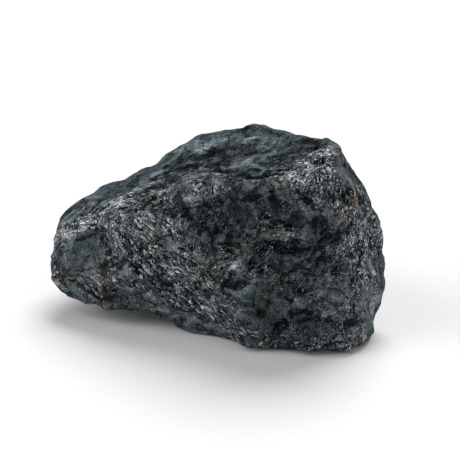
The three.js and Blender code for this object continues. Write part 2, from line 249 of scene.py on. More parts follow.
# spots: strength, radius, and the points each one runs through
# Pale patches; some are painted highlights, along the left band, the shoulder and the top.
PALE_AND_HIGHLIGHT_SPOTS = (
    (1.00, 1.3, (-46.2, -16.8, 22.3), (-40.7, -18.5, 25.6), (-36.5, -17.8, 28.5), (-32.6, -17.4, 31.5), (-28.4, -17.6, 33.8), (-23.8, -18.1, 35.8)),
    (0.55, 0.7, (-46.4, -13.6, 27.0), (-42.5, -11.7, 29.6), (-36.5, -12.5, 31.9), (-28.4, -13.6, 35.0)),
    (0.35, 1.2, (-42.2, -9.8, 30.6), (-37.7, -7.8, 32.5), (-31.3, -6.9, 34.4), (-17.6, -13.9, 40.0), (-9.2, -16.2, 44.0)),
    (0.55, 1.2, (-11.6, -18.1, 41.2), (-4.0, -18.4, 44.5), (3.1, -19.9, 45.3), (8.6, -21.8, 45.4)),
    (0.60, 1.2, (-3.5, -20.2, 41.2), (3.9, -21.7, 42.1), (9.2, -21.8, 46.1)),
    (0.45, 0.9, (3.7, -19.2, 46.7), (10.2, -21.9, 46.6)),
    (1.00, 1.4, (34.1, -22.6, 54.4), (37.7, -20.5, 53.7)),
    (0.60, 1.2, (34.8, -20.7, 56.3), (38.1, -18.6, 55.5)),
    (0.60, 1.4, (33.3, -6.2, 56.6), (37.1, -8.1, 55.2)),
    (0.45, 1.2, (38.8, -17.4, 55.2), (41.3, -12.8, 51.3), (42.6, -8.0, 47.0)),
    (0.40, 1.7, (44.7, -4.6, 38.5), (45.2, 2.0, 32.1), (45.9, 3.0, 27.6)),
    (0.50, 1.7, (46.7, -7.5, 24.5), (48.5, -5.1, 17.1)),
    (0.80, 1.0, (48.7, -4.6, 15.1), (49.1, -2.9, 12.7)),
    (0.35, 1.4, (48.1, -7.8, 12.2), (48.2, -11.2, 6.7)),
    (0.60, 1.3, (45.8, -20.9, 3.5), (48.0, -16.2, 3.0)),
    (0.40, 0.7, (20.0, -26.2, 1.3), (27.1, -24.7, 1.7), (35.0, -25.3, 2.8), (42.0, -23.6, 3.4)),
    (0.55, 1.3, (13.9, -26.7, 3.3), (18.3, -27.5, 2.5)),
    (0.40, 1.2, (1.8, -23.9, 2.9), (11.9, -26.6, 4.1)),
    (0.55, 1.2, (-14.4, -26.5, 26.6), (-11.5, -26.5, 25.2)),
    (0.50, 1.2, (-6.0, -24.5, 29.0), (-2.7, -24.9, 25.1)),
    (0.40, 1.2, (-18.9, -23.9, 32.5), (-17.5, -20.7, 36.6)),
    (0.90, 1.0, (13.6, -25.2, 28.6), (15.0, -25.6, 25.9), (15.9, -25.6, 24.3)),
    (0.50, 0.9, (17.5, -24.5, 30.2), (20.4, -23.9, 30.7)),
    (0.50, 1.0, (32.4, -20.0, 36.3), (33.2, -19.6, 33.9)),
    (0.25, 1.2, (29.6, -22.2, 43.7), (32.8, -21.2, 43.3), (35.3, -19.8, 40.8)),
    (0.60, 1.2, (33.6, -22.1, 15.7), (36.6, -20.5, 17.2), (38.6, -19.4, 17.7)),
    (0.40, 1.0, (43.5, -16.4, 18.3), (46.0, -14.7, 14.4)),
    (0.30, 1.2, (39.2, -17.9, 30.3), (42.7, -16.5, 27.0)),
    (0.35, 1.2, (23.3, -25.4, 16.2), (24.3, -25.5, 13.9)),
    (0.45, 0.6, (22.4, -23.5, 27.9), (23.9, -23.3, 25.3), (22.9, -24.5, 21.3)),
    (0.40, 0.9, (4.4, -25.1, 25.3), (8.8, -25.9, 22.6)),
    (0.45, 1.4, (-11.5, -27.2, 11.7), (-8.5, -25.4, 8.7)),
    (0.40, 1.2, (-2.9, -26.0, 14.6), (-0.7, -25.4, 11.0)),
    (0.35, 1.2, (8.2, -25.3, 13.0), (4.9, -24.3, 8.3)),
    (0.50, 0.3, (-43.1, -19.9, 21.6), (-45.4, -19.7, 18.9), (-45.3, -21.8, 16.4)),
    (0.45, 0.3, (-42.5, -25.1, 14.8), (-39.2, -26.2, 14.4), (-36.1, -26.9, 13.6), (-32.2, -27.9, 13.0), (-29.4, -27.7, 10.8)),
    (0.35, 0.4, (-8.7, -27.2, 20.3), (-3.5, -26.1, 15.1), (1.0, -24.8, 9.7)),
    (0.35, 0.4, (-14.3, -27.6, 22.0), (-8.1, -27.2, 16.0), (-4.9, -26.0, 11.1)),
    (0.30, 0.4, (-0.9, -24.6, 26.8), (5.8, -25.5, 20.1), (8.9, -25.4, 13.2)),
    (0.30, 2.6, (45.5, -15.2, 14.9), (47.8, -9.6, 11.2), (47.7, -12.4, 7.4)),
    (0.22, 2.6, (-7.8, -22.0, 36.0), (-2.1, -23.2, 34.7), (1.4, -22.6, 37.5)),
    (0.28, 1.7, (20.8, -28.1, 6.3), (32.0, -25.4, 6.0), (43.8, -21.3, 6.2)),
    (1.00, 1.4, (-11.3, 6.2, 47.1), (-6.5, 5.8, 48.5)),
    (1.00, 1.4, (-12.4, 5.7, 46.2), (-6.8, 5.0, 47.7)),
    (0.35, 1.4, (-12.0, 9.1, 49.4), (0.4, 7.4, 51.7)),
    (0.40, 1.4, (-16.5, 10.0, 47.3), (2.8, 5.6, 51.2)),
    (0.40, 1.4, (-20.6, 11.6, 44.7), (-11.0, 6.9, 47.9)),
    (0.40, 1.4, (9.9, 5.5, 52.5), (24.0, -1.2, 57.0)),
    (0.40, 1.4, (3.2, 4.6, 50.6), (18.8, -2.1, 55.1)),
    (0.40, 1.4, (1.8, -2.5, 47.9), (14.1, -7.3, 51.8)),
    (0.35, 1.4, (5.1, -5.6, 48.0), (14.7, -10.2, 51.5)),
    (0.35, 1.4, (-20.7, 7.4, 42.7), (-13.6, 5.3, 45.5)),
    (0.35, 1.4, (-21.9, 5.8, 41.4), (-13.7, 2.8, 44.3)),
    (0.80, 1.7, (33.7, -22.5, 54.9), (36.4, -21.7, 53.9), (37.6, -20.3, 54.2)),
    (0.20, 3.5, (-20.7, -22.1, 34.1), (-12.5, -24.3, 32.3), (-7.0, -22.4, 35.6)),
    (0.20, 3.5, (-15.4, -18.4, 39.2), (-6.5, -19.2, 42.0), (3.0, -20.4, 44.3)),
    (0.35, 2.3, (45.4, 2.2, 33.3), (47.1, 4.2, 25.5)),
    (0.35, 2.3, (46.3, 0.8, 21.5), (49.1, 0.1, 16.6)),
    (0.40, 1.4, (13.7, -24.7, 1.8), (23.8, -26.4, 2.4), (35.0, -25.2, 3.6), (42.1, -23.1, 4.4)),
    (1.00, 2.6, (48.1, -7.4, 16.4), (49.2, -2.3, 11.8), (48.7, -5.2, 10.1)),
    (0.40, 1.2, (2.2, -6.1, 47.1), (9.1, -6.0, 49.8)),
    (0.45, 2.3, (-14.0, -21.1, 37.2), (-8.8, -19.9, 39.4)),
    (0.35, 2.3, (4.1, -20.2, 45.5), (11.8, -22.0, 47.7), (18.3, -22.9, 49.5)),
    (0.30, 4.1, (-16.0, -23.9, 32.9), (-8.9, -25.2, 27.6), (0.6, -25.1, 21.6), (7.6, -25.3, 14.2)),
    (0.25, 2.9, (-18.4, -18.8, 37.7), (-8.4, -19.4, 40.5), (3.0, -20.4, 44.3)),
    (0.25, 2.9, (1.3, -19.6, 45.0), (12.3, -21.8, 48.3), (20.8, -23.0, 50.4)),
    (0.40, 2.0, (47.6, -10.0, 12.6), (48.9, -7.9, 7.7), (49.7, -7.5, 4.5)),
    (0.50, 1.7, (-20.8, 10.6, 44.3), (-16.6, 8.9, 46.3)),
    (0.55, 1.4, (0.2, 5.5, 50.3), (10.1, 5.0, 52.3), (21.7, -1.6, 56.2)),
    (0.50, 2.6, (-11.6, -22.0, 36.0), (-5.9, -23.3, 34.2), (-3.8, -23.7, 32.8)),
    (0.30, 1.4, (5.1, -2.7, 48.9), (13.0, -10.5, 50.7)),
    (0.35, 1.4, (-8.8, -7.7, 44.3), (-6.9, -4.7, 44.9), (-3.7, -4.6, 45.9)),
    (0.50, 2.0, (40.3, -11.6, 53.1), (41.4, -8.1, 49.3), (43.3, -6.4, 45.7)),
)
# Dark patches; some are painted shade, in the slits and under the ledges of the top face.
DARK_AND_SHADE_SPOTS = (
    (0.50, 1.0, (-37.4, -21.5, 23.0), (-33.2, -21.1, 25.4), (-30.9, -20.7, 27.5)),
    (0.55, 1.0, (-23.5, -23.9, 30.9), (-20.1, -26.3, 27.5), (-17.4, -27.2, 25.1)),
    (0.85, 1.4, (-25.8, -27.1, 19.4), (-25.8, -28.6, 14.3), (-25.1, -26.4, 8.2)),
    (0.40, 1.2, (-41.6, -27.0, 11.5), (-36.1, -26.9, 13.9)),
    (0.45, 1.2, (-41.8, -26.8, 7.8), (-35.7, -27.9, 7.6), (-30.6, -27.5, 7.0)),
    (0.70, 1.2, (-2.7, -21.9, 37.5), (-0.3, -23.0, 35.8)),
    (0.55, 1.2, (2.8, -24.4, 31.9), (4.3, -24.1, 34.1)),
    (0.80, 1.3, (4.5, -22.4, 40.3), (9.1, -22.9, 42.2)),
    (0.30, 2.6, (11.9, -23.6, 39.9), (16.8, -23.4, 38.1), (13.4, -24.1, 33.7), (8.0, -24.7, 33.0)),
    (0.40, 0.9, (-7.9, -21.7, 36.4), (-6.3, -22.4, 35.7)),
    (0.90, 1.3, (13.7, -24.8, 30.3), (12.7, -25.3, 28.5)),
    (0.50, 1.0, (7.5, -25.0, 31.2), (8.0, -25.3, 28.7)),
    (0.60, 1.0, (16.9, -23.8, 44.2), (19.2, -23.5, 45.1), (21.6, -23.5, 46.0)),
    (0.50, 1.2, (24.8, -23.7, 48.3), (30.7, -23.8, 50.2)),
    (0.70, 1.2, (26.1, -22.6, 43.4), (25.2, -23.2, 45.5)),
    (0.60, 1.0, (33.9, -21.9, 46.0), (36.8, -20.1, 44.1)),
    (1.00, 1.6, (22.6, -23.2, 31.1), (27.0, -21.5, 30.6), (31.9, -20.1, 29.7)),
    (0.95, 1.4, (19.5, -24.5, 25.3), (21.2, -24.4, 23.7)),
    (0.80, 1.3, (12.0, -26.0, 18.6), (15.4, -25.9, 18.7), (17.5, -25.6, 19.6)),
    (0.55, 1.0, (3.8, -25.2, 17.5), (5.5, -25.5, 20.1)),
    (0.60, 1.0, (22.0, -22.7, 36.9), (20.9, -23.0, 33.8)),
    (0.75, 0.9, (28.3, -21.2, 37.6), (29.9, -20.6, 35.5)),
    (0.50, 1.7, (37.9, -18.3, 33.0), (40.4, -17.2, 34.8), (35.8, -19.1, 29.9)),
    (0.50, 1.0, (45.6, -10.7, 30.3), (45.3, -13.7, 24.7), (46.4, -12.1, 17.5)),
    (0.60, 1.2, (31.7, -23.3, 12.5), (35.9, -21.6, 12.3), (41.9, -19.7, 10.7)),
    (0.90, 1.4, (27.9, -25.8, 7.0), (29.8, -24.7, 9.4)),
    (0.75, 1.4, (45.0, -18.4, 8.6), (47.2, -13.6, 8.3)),
    (0.60, 1.2, (22.2, -26.5, 10.9), (23.8, -25.9, 12.1)),
    (1.00, 0.7, (-0.2, -8.0, 46.8), (4.9, -12.1, 47.7), (11.3, -17.5, 49.6), (14.4, -16.8, 50.7)),
    (0.50, 1.4, (-6.5, 1.5, 45.9), (-1.8, 1.3, 47.5)),
    (0.50, 1.3, (19.2, -16.5, 52.4), (24.5, -18.9, 54.4)),
    (0.60, 0.9, (26.3, -3.1, 57.2), (28.7, -2.2, 57.9)),
    (0.50, 0.6, (2.2, -0.4, 48.5), (9.2, -1.8, 51.1), (16.7, -4.7, 53.5)),
    (0.45, 0.6, (23.0, -9.5, 54.7), (28.2, -8.6, 56.0)),
    (0.50, 0.7, (-14.0, -14.5, 41.6), (-8.8, -14.4, 44.5)),
    (0.50, 0.7, (-8.6, -26.6, 22.6), (-6.8, -25.6, 24.4)),
    (0.60, 0.7, (43.9, -22.1, 2.5), (45.9, -20.4, 2.8)),
    (0.45, 0.9, (43.2, -14.8, 43.3), (43.7, -13.7, 40.1)),
    (0.40, 0.9, (-11.7, -27.7, 19.4), (-8.7, -27.3, 15.3), (-6.8, -26.7, 13.9)),
    (0.45, 0.7, (0.3, -24.5, 28.2), (2.5, -25.1, 21.9)),
    (0.50, 0.9, (38.4, -19.0, 20.3), (40.9, -17.9, 23.4)),
    (0.45, 0.9, (30.3, -21.8, 24.0), (32.8, -20.7, 25.8)),
    (0.40, 0.6, (-36.9, -17.1, 29.2), (-33.1, -16.4, 32.1), (-27.6, -16.6, 34.8)),
    (0.45, 0.5, (-42.8, -15.1, 27.4), (-37.8, -14.1, 30.7), (-32.4, -12.6, 33.5)),
    (0.45, 0.5, (-23.7, -15.0, 37.0), (-16.2, -16.6, 39.8), (-9.1, -17.9, 43.0)),
    (0.45, 0.4, (-26.1, -25.0, 24.6), (-23.1, -27.1, 21.7), (-21.3, -28.0, 19.2)),
    (0.70, 1.4, (-6.4, 4.1, 47.1), (-1.9, 2.9, 48.0)),
    (0.70, 1.4, (-7.9, 3.1, 45.9), (0.1, -0.1, 47.9)),
    (0.70, 1.4, (-9.0, 1.2, 45.1), (2.1, -3.0, 47.7)),
    (0.70, 1.4, (-4.2, -3.5, 45.8), (3.9, -5.6, 47.5)),
    (1.00, 1.4, (-0.2, -8.0, 46.8), (8.0, -12.0, 48.7)),
    (1.00, 1.4, (1.8, -11.0, 47.0), (15.5, -19.3, 50.7)),
    (0.90, 1.4, (9.5, -18.3, 49.0), (17.7, -21.4, 50.7)),
    (0.25, 1.4, (20.2, -5.6, 54.4), (27.0, -7.1, 56.0)),
    (0.30, 1.4, (18.3, -7.0, 53.4), (27.2, -9.1, 55.7)),
    (0.35, 1.4, (17.1, -8.6, 52.7), (27.2, -13.6, 55.9)),
    (0.40, 1.4, (16.8, -10.7, 52.2), (25.4, -15.2, 55.2)),
    (0.70, 1.7, (16.7, -13.5, 51.8), (23.7, -17.0, 54.3)),
    (0.40, 1.2, (7.0, -1.1, 50.3), (15.0, -5.0, 52.7)),
    (0.70, 1.4, (-14.7, -2.1, 42.5), (-5.8, -4.3, 45.3)),
    (0.55, 1.4, (-17.9, -3.1, 40.8), (-7.6, -7.3, 44.6)),
    (0.50, 1.4, (-22.2, -3.4, 38.7), (-10.7, -10.5, 43.7)),
    (0.35, 1.3, (25.2, -2.8, 57.0), (29.6, -2.9, 57.8)),
    (0.50, 2.9, (37.3, -18.8, 39.0), (41.4, -16.7, 34.8), (39.6, -17.9, 28.9)),
    (0.45, 2.9, (37.2, -19.3, 25.4), (43.3, -16.3, 24.1), (44.8, -14.1, 28.4)),
    (0.40, 2.3, (32.4, -19.8, 33.2), (34.8, -19.5, 28.7)),
    (0.35, 2.3, (15.9, -23.0, 48.0), (22.3, -23.6, 48.5), (28.4, -23.9, 50.0)),
    (0.55, 2.0, (-22.3, -24.3, 30.9), (-19.7, -26.3, 27.6), (-17.9, -27.5, 23.9)),
    (0.80, 1.3, (-2.4, -21.9, 37.6), (-0.0, -22.9, 36.1)),
    (0.40, 1.2, (-1.0, 5.2, 49.6), (5.5, 0.8, 50.2)),
    (0.35, 2.9, (-28.1, -27.0, 7.6), (-19.1, -26.5, 10.2), (-9.2, -25.2, 8.2)),
    (0.30, 2.3, (-6.9, -23.5, 4.1), (2.9, -23.6, 2.0)),
    (0.40, 2.3, (-42.9, -25.6, 13.7), (-34.5, -27.4, 13.1)),
    (0.45, 1.7, (16.4, -18.5, 51.2), (22.3, -22.3, 51.9)),
    (0.35, 1.7, (43.1, -18.3, 13.8), (46.6, -14.5, 10.7)),
    (0.30, 2.3, (-39.3, -27.4, 11.0), (-33.0, -28.0, 9.4), (-28.7, -27.2, 7.5)),
    (0.30, 2.3, (-22.5, -26.4, 8.3), (-15.1, -26.5, 8.0), (-9.7, -24.3, 6.2)),
    (0.35, 2.0, (6.5, -22.7, 40.6), (11.4, -23.8, 36.9), (8.7, -24.8, 32.6)),
    (0.40, 2.6, (-39.3, -27.5, 10.4), (-33.0, -27.9, 9.0), (-28.1, -27.0, 7.6)),
    (0.30, 1.4, (25.7, -3.9, 56.7), (29.5, -4.2, 57.3)),
    (0.30, 2.0, (1.2, 9.1, 53.5), (6.7, 8.5, 54.6), (13.2, 8.2, 54.3)),
    (0.45, 2.6, (-23.6, -27.5, 19.9), (-19.2, -28.3, 19.0), (-14.8, -28.1, 19.0)),
    (0.35, 2.3, (-40.7, -27.4, 10.8), (-35.0, -27.9, 9.3), (-29.9, -27.4, 8.1)),
    (0.30, 1.7, (35.0, -22.4, 49.2), (37.8, -20.5, 47.9), (40.1, -18.8, 46.5)),
)
BROWN_SPOTS = (
    (0.90, 1.0, (-36.4, -21.5, 23.5), (-32.7, -20.6, 26.2)),
    (0.80, 2.0, (-26.4, -27.1, 19.0), (-26.0, -28.2, 13.2), (-25.7, -26.5, 8.4)),
    (0.70, 1.4, (-42.5, -26.6, 12.1), (-36.0, -27.2, 12.7)),
    (0.70, 0.9, (-12.3, -24.9, 30.7), (-9.1, -24.8, 29.3)),
    (0.60, 0.9, (-23.3, -15.7, 37.0), (-14.7, -19.6, 38.5)),
    (0.60, 1.4, (-2.3, -24.2, 30.1), (0.7, -23.8, 33.5)),
    (0.90, 1.0, (17.6, -24.5, 29.9), (20.4, -23.9, 30.7)),
    (0.80, 1.3, (22.7, -25.5, 16.1), (23.5, -25.8, 13.3)),
    (0.90, 1.0, (10.0, -22.2, 45.8), (13.0, -23.2, 45.3)),
    (0.70, 1.0, (22.6, -23.1, 51.3), (26.1, -23.5, 52.2)),
    (0.70, 1.2, (23.6, -22.3, 35.8), (26.9, -21.4, 36.6)),
    (0.70, 0.9, (26.7, -23.4, 21.5), (28.9, -22.9, 21.1)),
    (0.60, 0.9, (6.5, -25.6, 20.3), (9.2, -25.9, 19.6)),
    (0.60, 0.9, (5.4, -25.3, 24.3), (9.8, -26.0, 22.8)),
    (0.90, 1.6, (42.8, -16.0, 41.6), (43.9, -11.1, 42.2), (43.7, -9.0, 44.5)),
    (0.50, 1.2, (37.8, -20.7, 49.1), (39.7, -19.2, 47.1)),
    (0.50, 1.2, (45.6, -17.5, 8.4), (47.1, -15.6, 6.6)),
    (0.40, 0.9, (12.9, -24.5, 31.9), (14.8, -24.6, 30.4)),
    (0.50, 0.9, (-7.8, -26.4, 22.6), (-5.9, -26.4, 21.1)),
    (0.40, 1.7, (15.6, -23.5, 39.8), (20.3, -23.1, 38.5)),
    (0.60, 0.9, (-31.0, -12.7, 34.0), (-23.7, -15.0, 37.0)),
)
RUST_SPOTS = (
    (1.00, 1.3, (44.1, -8.4, 42.6), (43.9, -3.8, 43.8)),
    (0.50, 0.7, (42.9, -15.7, 41.2), (43.8, -13.7, 39.8)),
    (0.45, 0.5, (-11.1, -24.6, 31.4), (-9.7, -24.8, 29.8)),
    (0.40, 0.4, (-33.6, -9.0, 33.5), (-28.9, -14.1, 34.8)),
    (0.40, 0.4, (-32.3, -20.7, 26.3), (-31.2, -21.6, 25.5)),
)
# where the feldspar is violet, and where olive
VIOLET_SPOTS = (
    (1.00, 2.9, (-44.3, -17.6, 23.5), (-36.3, -16.8, 29.8), (-25.8, -17.3, 35.3)),
    (0.70, 2.6, (-24.6, -23.6, 30.3), (-20.8, -26.2, 27.4)),
    (0.25, 2.6, (1.8, -2.5, 47.9), (11.8, -3.4, 51.8), (22.2, -2.9, 56.0), (35.7, -6.1, 56.3)),
    (0.80, 2.6, (40.0, -5.1, 51.8), (43.9, -2.8, 43.8)),
    (0.60, 2.9, (45.5, 2.3, 30.8), (47.3, 3.2, 20.8)),
    (0.80, 2.3, (33.2, -22.7, 54.9), (38.5, -19.6, 53.5)),
    (0.80, 2.3, (2.8, -24.2, 32.7), (0.5, -24.8, 25.2)),
    (0.70, 2.9, (37.3, -18.5, 35.9), (41.0, -17.1, 30.0)),
)
OLIVE_SPOTS = (
    (0.40, 3.5, (-37.7, -22.2, 21.6), (-30.0, -25.3, 20.7), (-37.6, -25.1, 17.5)),
    (0.90, 2.6, (-19.1, -17.4, 38.4), (-13.3, -22.7, 35.1), (-9.7, -24.8, 29.8)),
    (0.90, 2.0, (22.1, -23.2, 50.7), (26.4, -23.4, 52.5)),
    (0.90, 2.3, (5.4, -25.3, 24.3), (10.5, -26.0, 22.3)),
    (0.90, 2.3, (25.9, -23.1, 23.7), (29.5, -22.8, 20.5)),
    (0.80, 2.3, (22.0, -22.8, 38.1), (28.0, -21.1, 35.4)),
    (0.80, 2.3, (-42.2, -25.7, 13.8), (-33.3, -27.0, 15.7)),
    (0.70, 2.6, (17.0, -26.6, 11.9), (23.5, -25.9, 12.1)),
)
# fresh cleavage faces, smooth, and places where the grains stand proud and crumbled
SMOOTH_SPOTS = (
    (1.00, 2.6, (10.0, -23.6, 38.4), (15.6, -23.5, 38.0), (19.7, -23.1, 39.7)),
    (0.80, 1.4, (10.8, -24.6, 32.8), (14.7, -24.2, 32.4), (17.9, -23.9, 32.4)),
    (1.00, 2.6, (35.1, -19.2, 36.5), (38.3, -18.1, 34.2), (40.9, -17.0, 36.0)),
    (0.90, 1.7, (33.0, -20.9, 24.1), (36.2, -19.9, 23.0), (38.8, -18.8, 24.9)),
    (1.00, 2.0, (23.1, -25.1, 18.5), (23.3, -25.5, 15.6), (24.5, -25.4, 14.0)),
    (1.00, 2.3, (28.3, -24.2, 15.3), (32.0, -22.8, 14.9), (35.1, -21.3, 16.0)),
    (1.00, 1.4, (13.0, -26.0, 17.8), (16.1, -25.9, 17.0)),
    (0.60, 1.4, (25.6, -22.4, 28.3), (29.9, -21.1, 27.9)),
    (1.00, 3.5, (-35.4, -22.7, 22.1), (-31.1, -24.5, 21.5), (-28.7, -26.7, 18.8)),
    (0.90, 1.7, (-37.1, -27.7, 9.6), (-33.0, -27.9, 9.0), (-29.9, -27.4, 8.1)),
    (0.80, 1.2, (-19.0, -26.5, 9.6), (-16.0, -26.8, 8.9)),
    (0.80, 1.4, (-12.5, -25.2, 6.6), (-9.3, -23.8, 5.1)),
    (0.90, 1.4, (-7.8, -24.7, 28.8), (-5.4, -24.6, 27.3)),
    (0.80, 1.2, (-23.3, -27.3, 20.5), (-21.1, -28.5, 17.5)),
    (1.00, 2.0, (47.5, 3.5, 20.8), (49.5, 1.6, 16.1), (49.4, -0.2, 10.5), (48.7, -5.1, 10.9)),
    (0.90, 2.3, (37.3, -18.8, 39.0), (41.0, -17.4, 40.3), (42.8, -15.7, 35.8)),
    (0.90, 2.3, (37.9, -19.4, 19.4), (41.7, -18.0, 17.1), (44.0, -16.1, 18.0)),
    (0.70, 1.4, (46.7, -12.6, 14.7), (47.9, -9.6, 10.7)),
    (1.00, 1.7, (-26.2, 6.8, 39.9), (-19.9, 11.5, 45.2), (-12.3, 9.8, 49.8), (-4.4, 10.0, 52.2), (4.8, 8.3, 54.2), (14.4, 8.5, 54.3), (27.6, -2.5, 57.8)),
    (0.90, 1.7, (-40.0, -3.4, 33.1), (-34.5, 1.9, 35.4), (-27.4, 3.1, 39.3)),
    (0.90, 1.7, (-0.3, 3.6, 48.9), (7.3, -1.8, 50.2), (12.8, -2.9, 52.4)),
    (0.90, 1.7, (16.8, -15.0, 51.6), (19.3, -10.8, 53.1), (21.7, -7.7, 54.3)),
    (0.70, 1.4, (3.4, -24.3, 32.8), (5.6, -24.8, 30.9)),
    (0.70, 2.0, (45.3, -16.8, 11.4), (46.8, -15.0, 7.9)),
    (0.70, 1.4, (42.0, -20.0, 9.9), (39.0, -21.6, 8.8)),
    (0.60, 1.7, (20.3, -27.0, 10.1), (23.7, -26.3, 9.2)),
    (0.80, 1.4, (30.5, -23.1, 47.1), (32.9, -21.4, 44.0), (35.3, -20.0, 42.1)),
    (0.70, 1.4, (16.8, -23.7, 45.4), (20.5, -23.6, 47.0)),
    (0.70, 1.4, (39.4, -2.8, 52.8), (41.8, -1.6, 48.0)),
    (0.90, 2.3, (48.1, -7.4, 16.1), (49.2, -2.3, 11.5), (48.7, -5.9, 10.0)),
    (0.60, 2.3, (22.3, -23.6, 47.9), (28.8, -23.4, 47.5)),
    (0.80, 3.5, (-24.4, -26.5, 10.6), (-14.8, -27.0, 10.4), (-7.9, -24.0, 6.1)),
    (0.70, 2.9, (-4.8, -23.8, 4.6), (3.0, -23.7, 2.7), (9.9, -23.4, 1.9)),
    (0.80, 2.3, (47.6, -10.0, 12.6), (48.9, -7.9, 7.7), (49.6, -8.2, 4.8)),
    (0.80, 2.0, (40.1, -12.8, 53.8), (41.3, -8.5, 49.7), (43.0, -6.4, 46.3)),
)
CRUMBLY_SPOTS = (
    (1.00, 2.3, (22.6, -22.7, 38.7), (25.8, -21.7, 36.5), (29.1, -20.7, 34.8)),
    (1.00, 2.0, (21.8, -23.6, 30.5), (24.9, -22.3, 31.2), (28.6, -20.9, 30.6)),
    (1.00, 1.7, (10.9, -25.5, 28.3), (15.1, -25.2, 28.2)),
    (1.00, 1.7, (19.3, -24.9, 23.9), (22.6, -23.9, 24.1)),
    (1.00, 1.4, (26.9, -23.2, 22.1), (30.4, -22.1, 22.3)),
    (0.90, 2.0, (39.4, -17.7, 32.4), (42.9, -15.8, 31.1), (44.9, -13.0, 31.6)),
    (1.00, 1.7, (42.3, -16.5, 44.9), (43.9, -12.6, 40.9)),
    (1.00, 2.6, (44.9, -11.5, 33.5), (46.5, -3.6, 26.8), (47.6, -1.1, 19.3)),
    (1.00, 2.6, (33.1, -7.3, 56.3), (39.2, -18.4, 53.8), (37.8, -20.7, 49.1)),
    (0.90, 1.7, (42.6, -12.7, 47.3), (44.3, -7.3, 41.7)),
    (1.00, 1.7, (38.2, -24.0, 4.4), (43.3, -23.2, 3.4), (47.7, -18.7, 3.0), (49.3, -11.3, 2.8)),
    (1.00, 1.7, (14.5, -23.7, 0.3), (23.6, -25.9, 1.3), (31.8, -24.7, 1.9)),
    (1.00, 1.7, (-8.0, -11.9, 44.7), (-5.6, -7.4, 45.2), (-1.6, -7.8, 46.5)),
    (1.00, 1.4, (-21.0, -5.8, 39.0), (-12.4, -12.4, 42.8)),
    (1.00, 1.4, (27.1, -19.3, 55.4), (32.8, -18.7, 57.2), (38.2, -15.7, 56.4)),
    (1.00, 2.6, (-41.0, -17.8, 26.0), (-34.0, -17.4, 30.7), (-26.5, -17.4, 34.9), (-18.2, -20.5, 36.4)),
    (1.00, 3.5, (-26.7, -22.3, 30.2), (-18.7, -26.3, 27.7), (-12.5, -27.4, 22.2)),
    (0.45, 1.7, (-11.3, -27.2, 22.4), (-4.6, -26.4, 17.5), (1.8, -25.2, 11.9)),
    (0.40, 1.7, (3.6, -24.9, 10.8), (8.1, -25.0, 7.2), (15.0, -27.8, 4.6)),
    (0.80, 1.7, (-0.0, -19.3, 44.7), (6.6, -21.5, 44.5)),
    (0.80, 1.7, (33.4, -21.7, 18.3), (36.6, -20.6, 16.0)),
    (0.80, 1.4, (5.0, -22.2, 41.5), (7.9, -23.0, 40.3)),
    (0.70, 1.7, (8.8, -25.8, 23.2), (13.0, -26.1, 22.1)),
    (0.60, 2.3, (-27.3, -28.1, 15.8), (-24.1, -26.9, 11.4)),
    (0.80, 2.6, (44.7, -11.1, 34.6), (46.0, -9.2, 28.7), (47.6, -6.3, 21.2)),
    (0.60, 2.0, (45.5, 2.4, 27.7), (46.5, 1.9, 21.2)),
    (0.90, 1.4, (-10.1, -9.0, 43.9), (-6.0, -5.2, 45.1), (-2.9, -6.3, 46.2)),
    (0.80, 1.7, (-16.6, -10.6, 41.0), (-7.4, -13.3, 44.9)),
    (0.80, 1.4, (27.0, -20.6, 55.2), (31.5, -18.4, 56.9), (33.0, -8.4, 56.0)),
    (0.90, 1.7, (28.7, -23.3, 53.6), (32.4, -23.5, 52.7)),
    (0.80, 2.9, (-19.1, -21.4, 35.4), (-13.3, -24.1, 32.7), (-10.3, -25.0, 29.2)),
    (0.70, 2.3, (-10.6, -20.2, 38.6), (-6.6, -21.8, 36.6), (-6.4, -23.7, 33.0)),
)
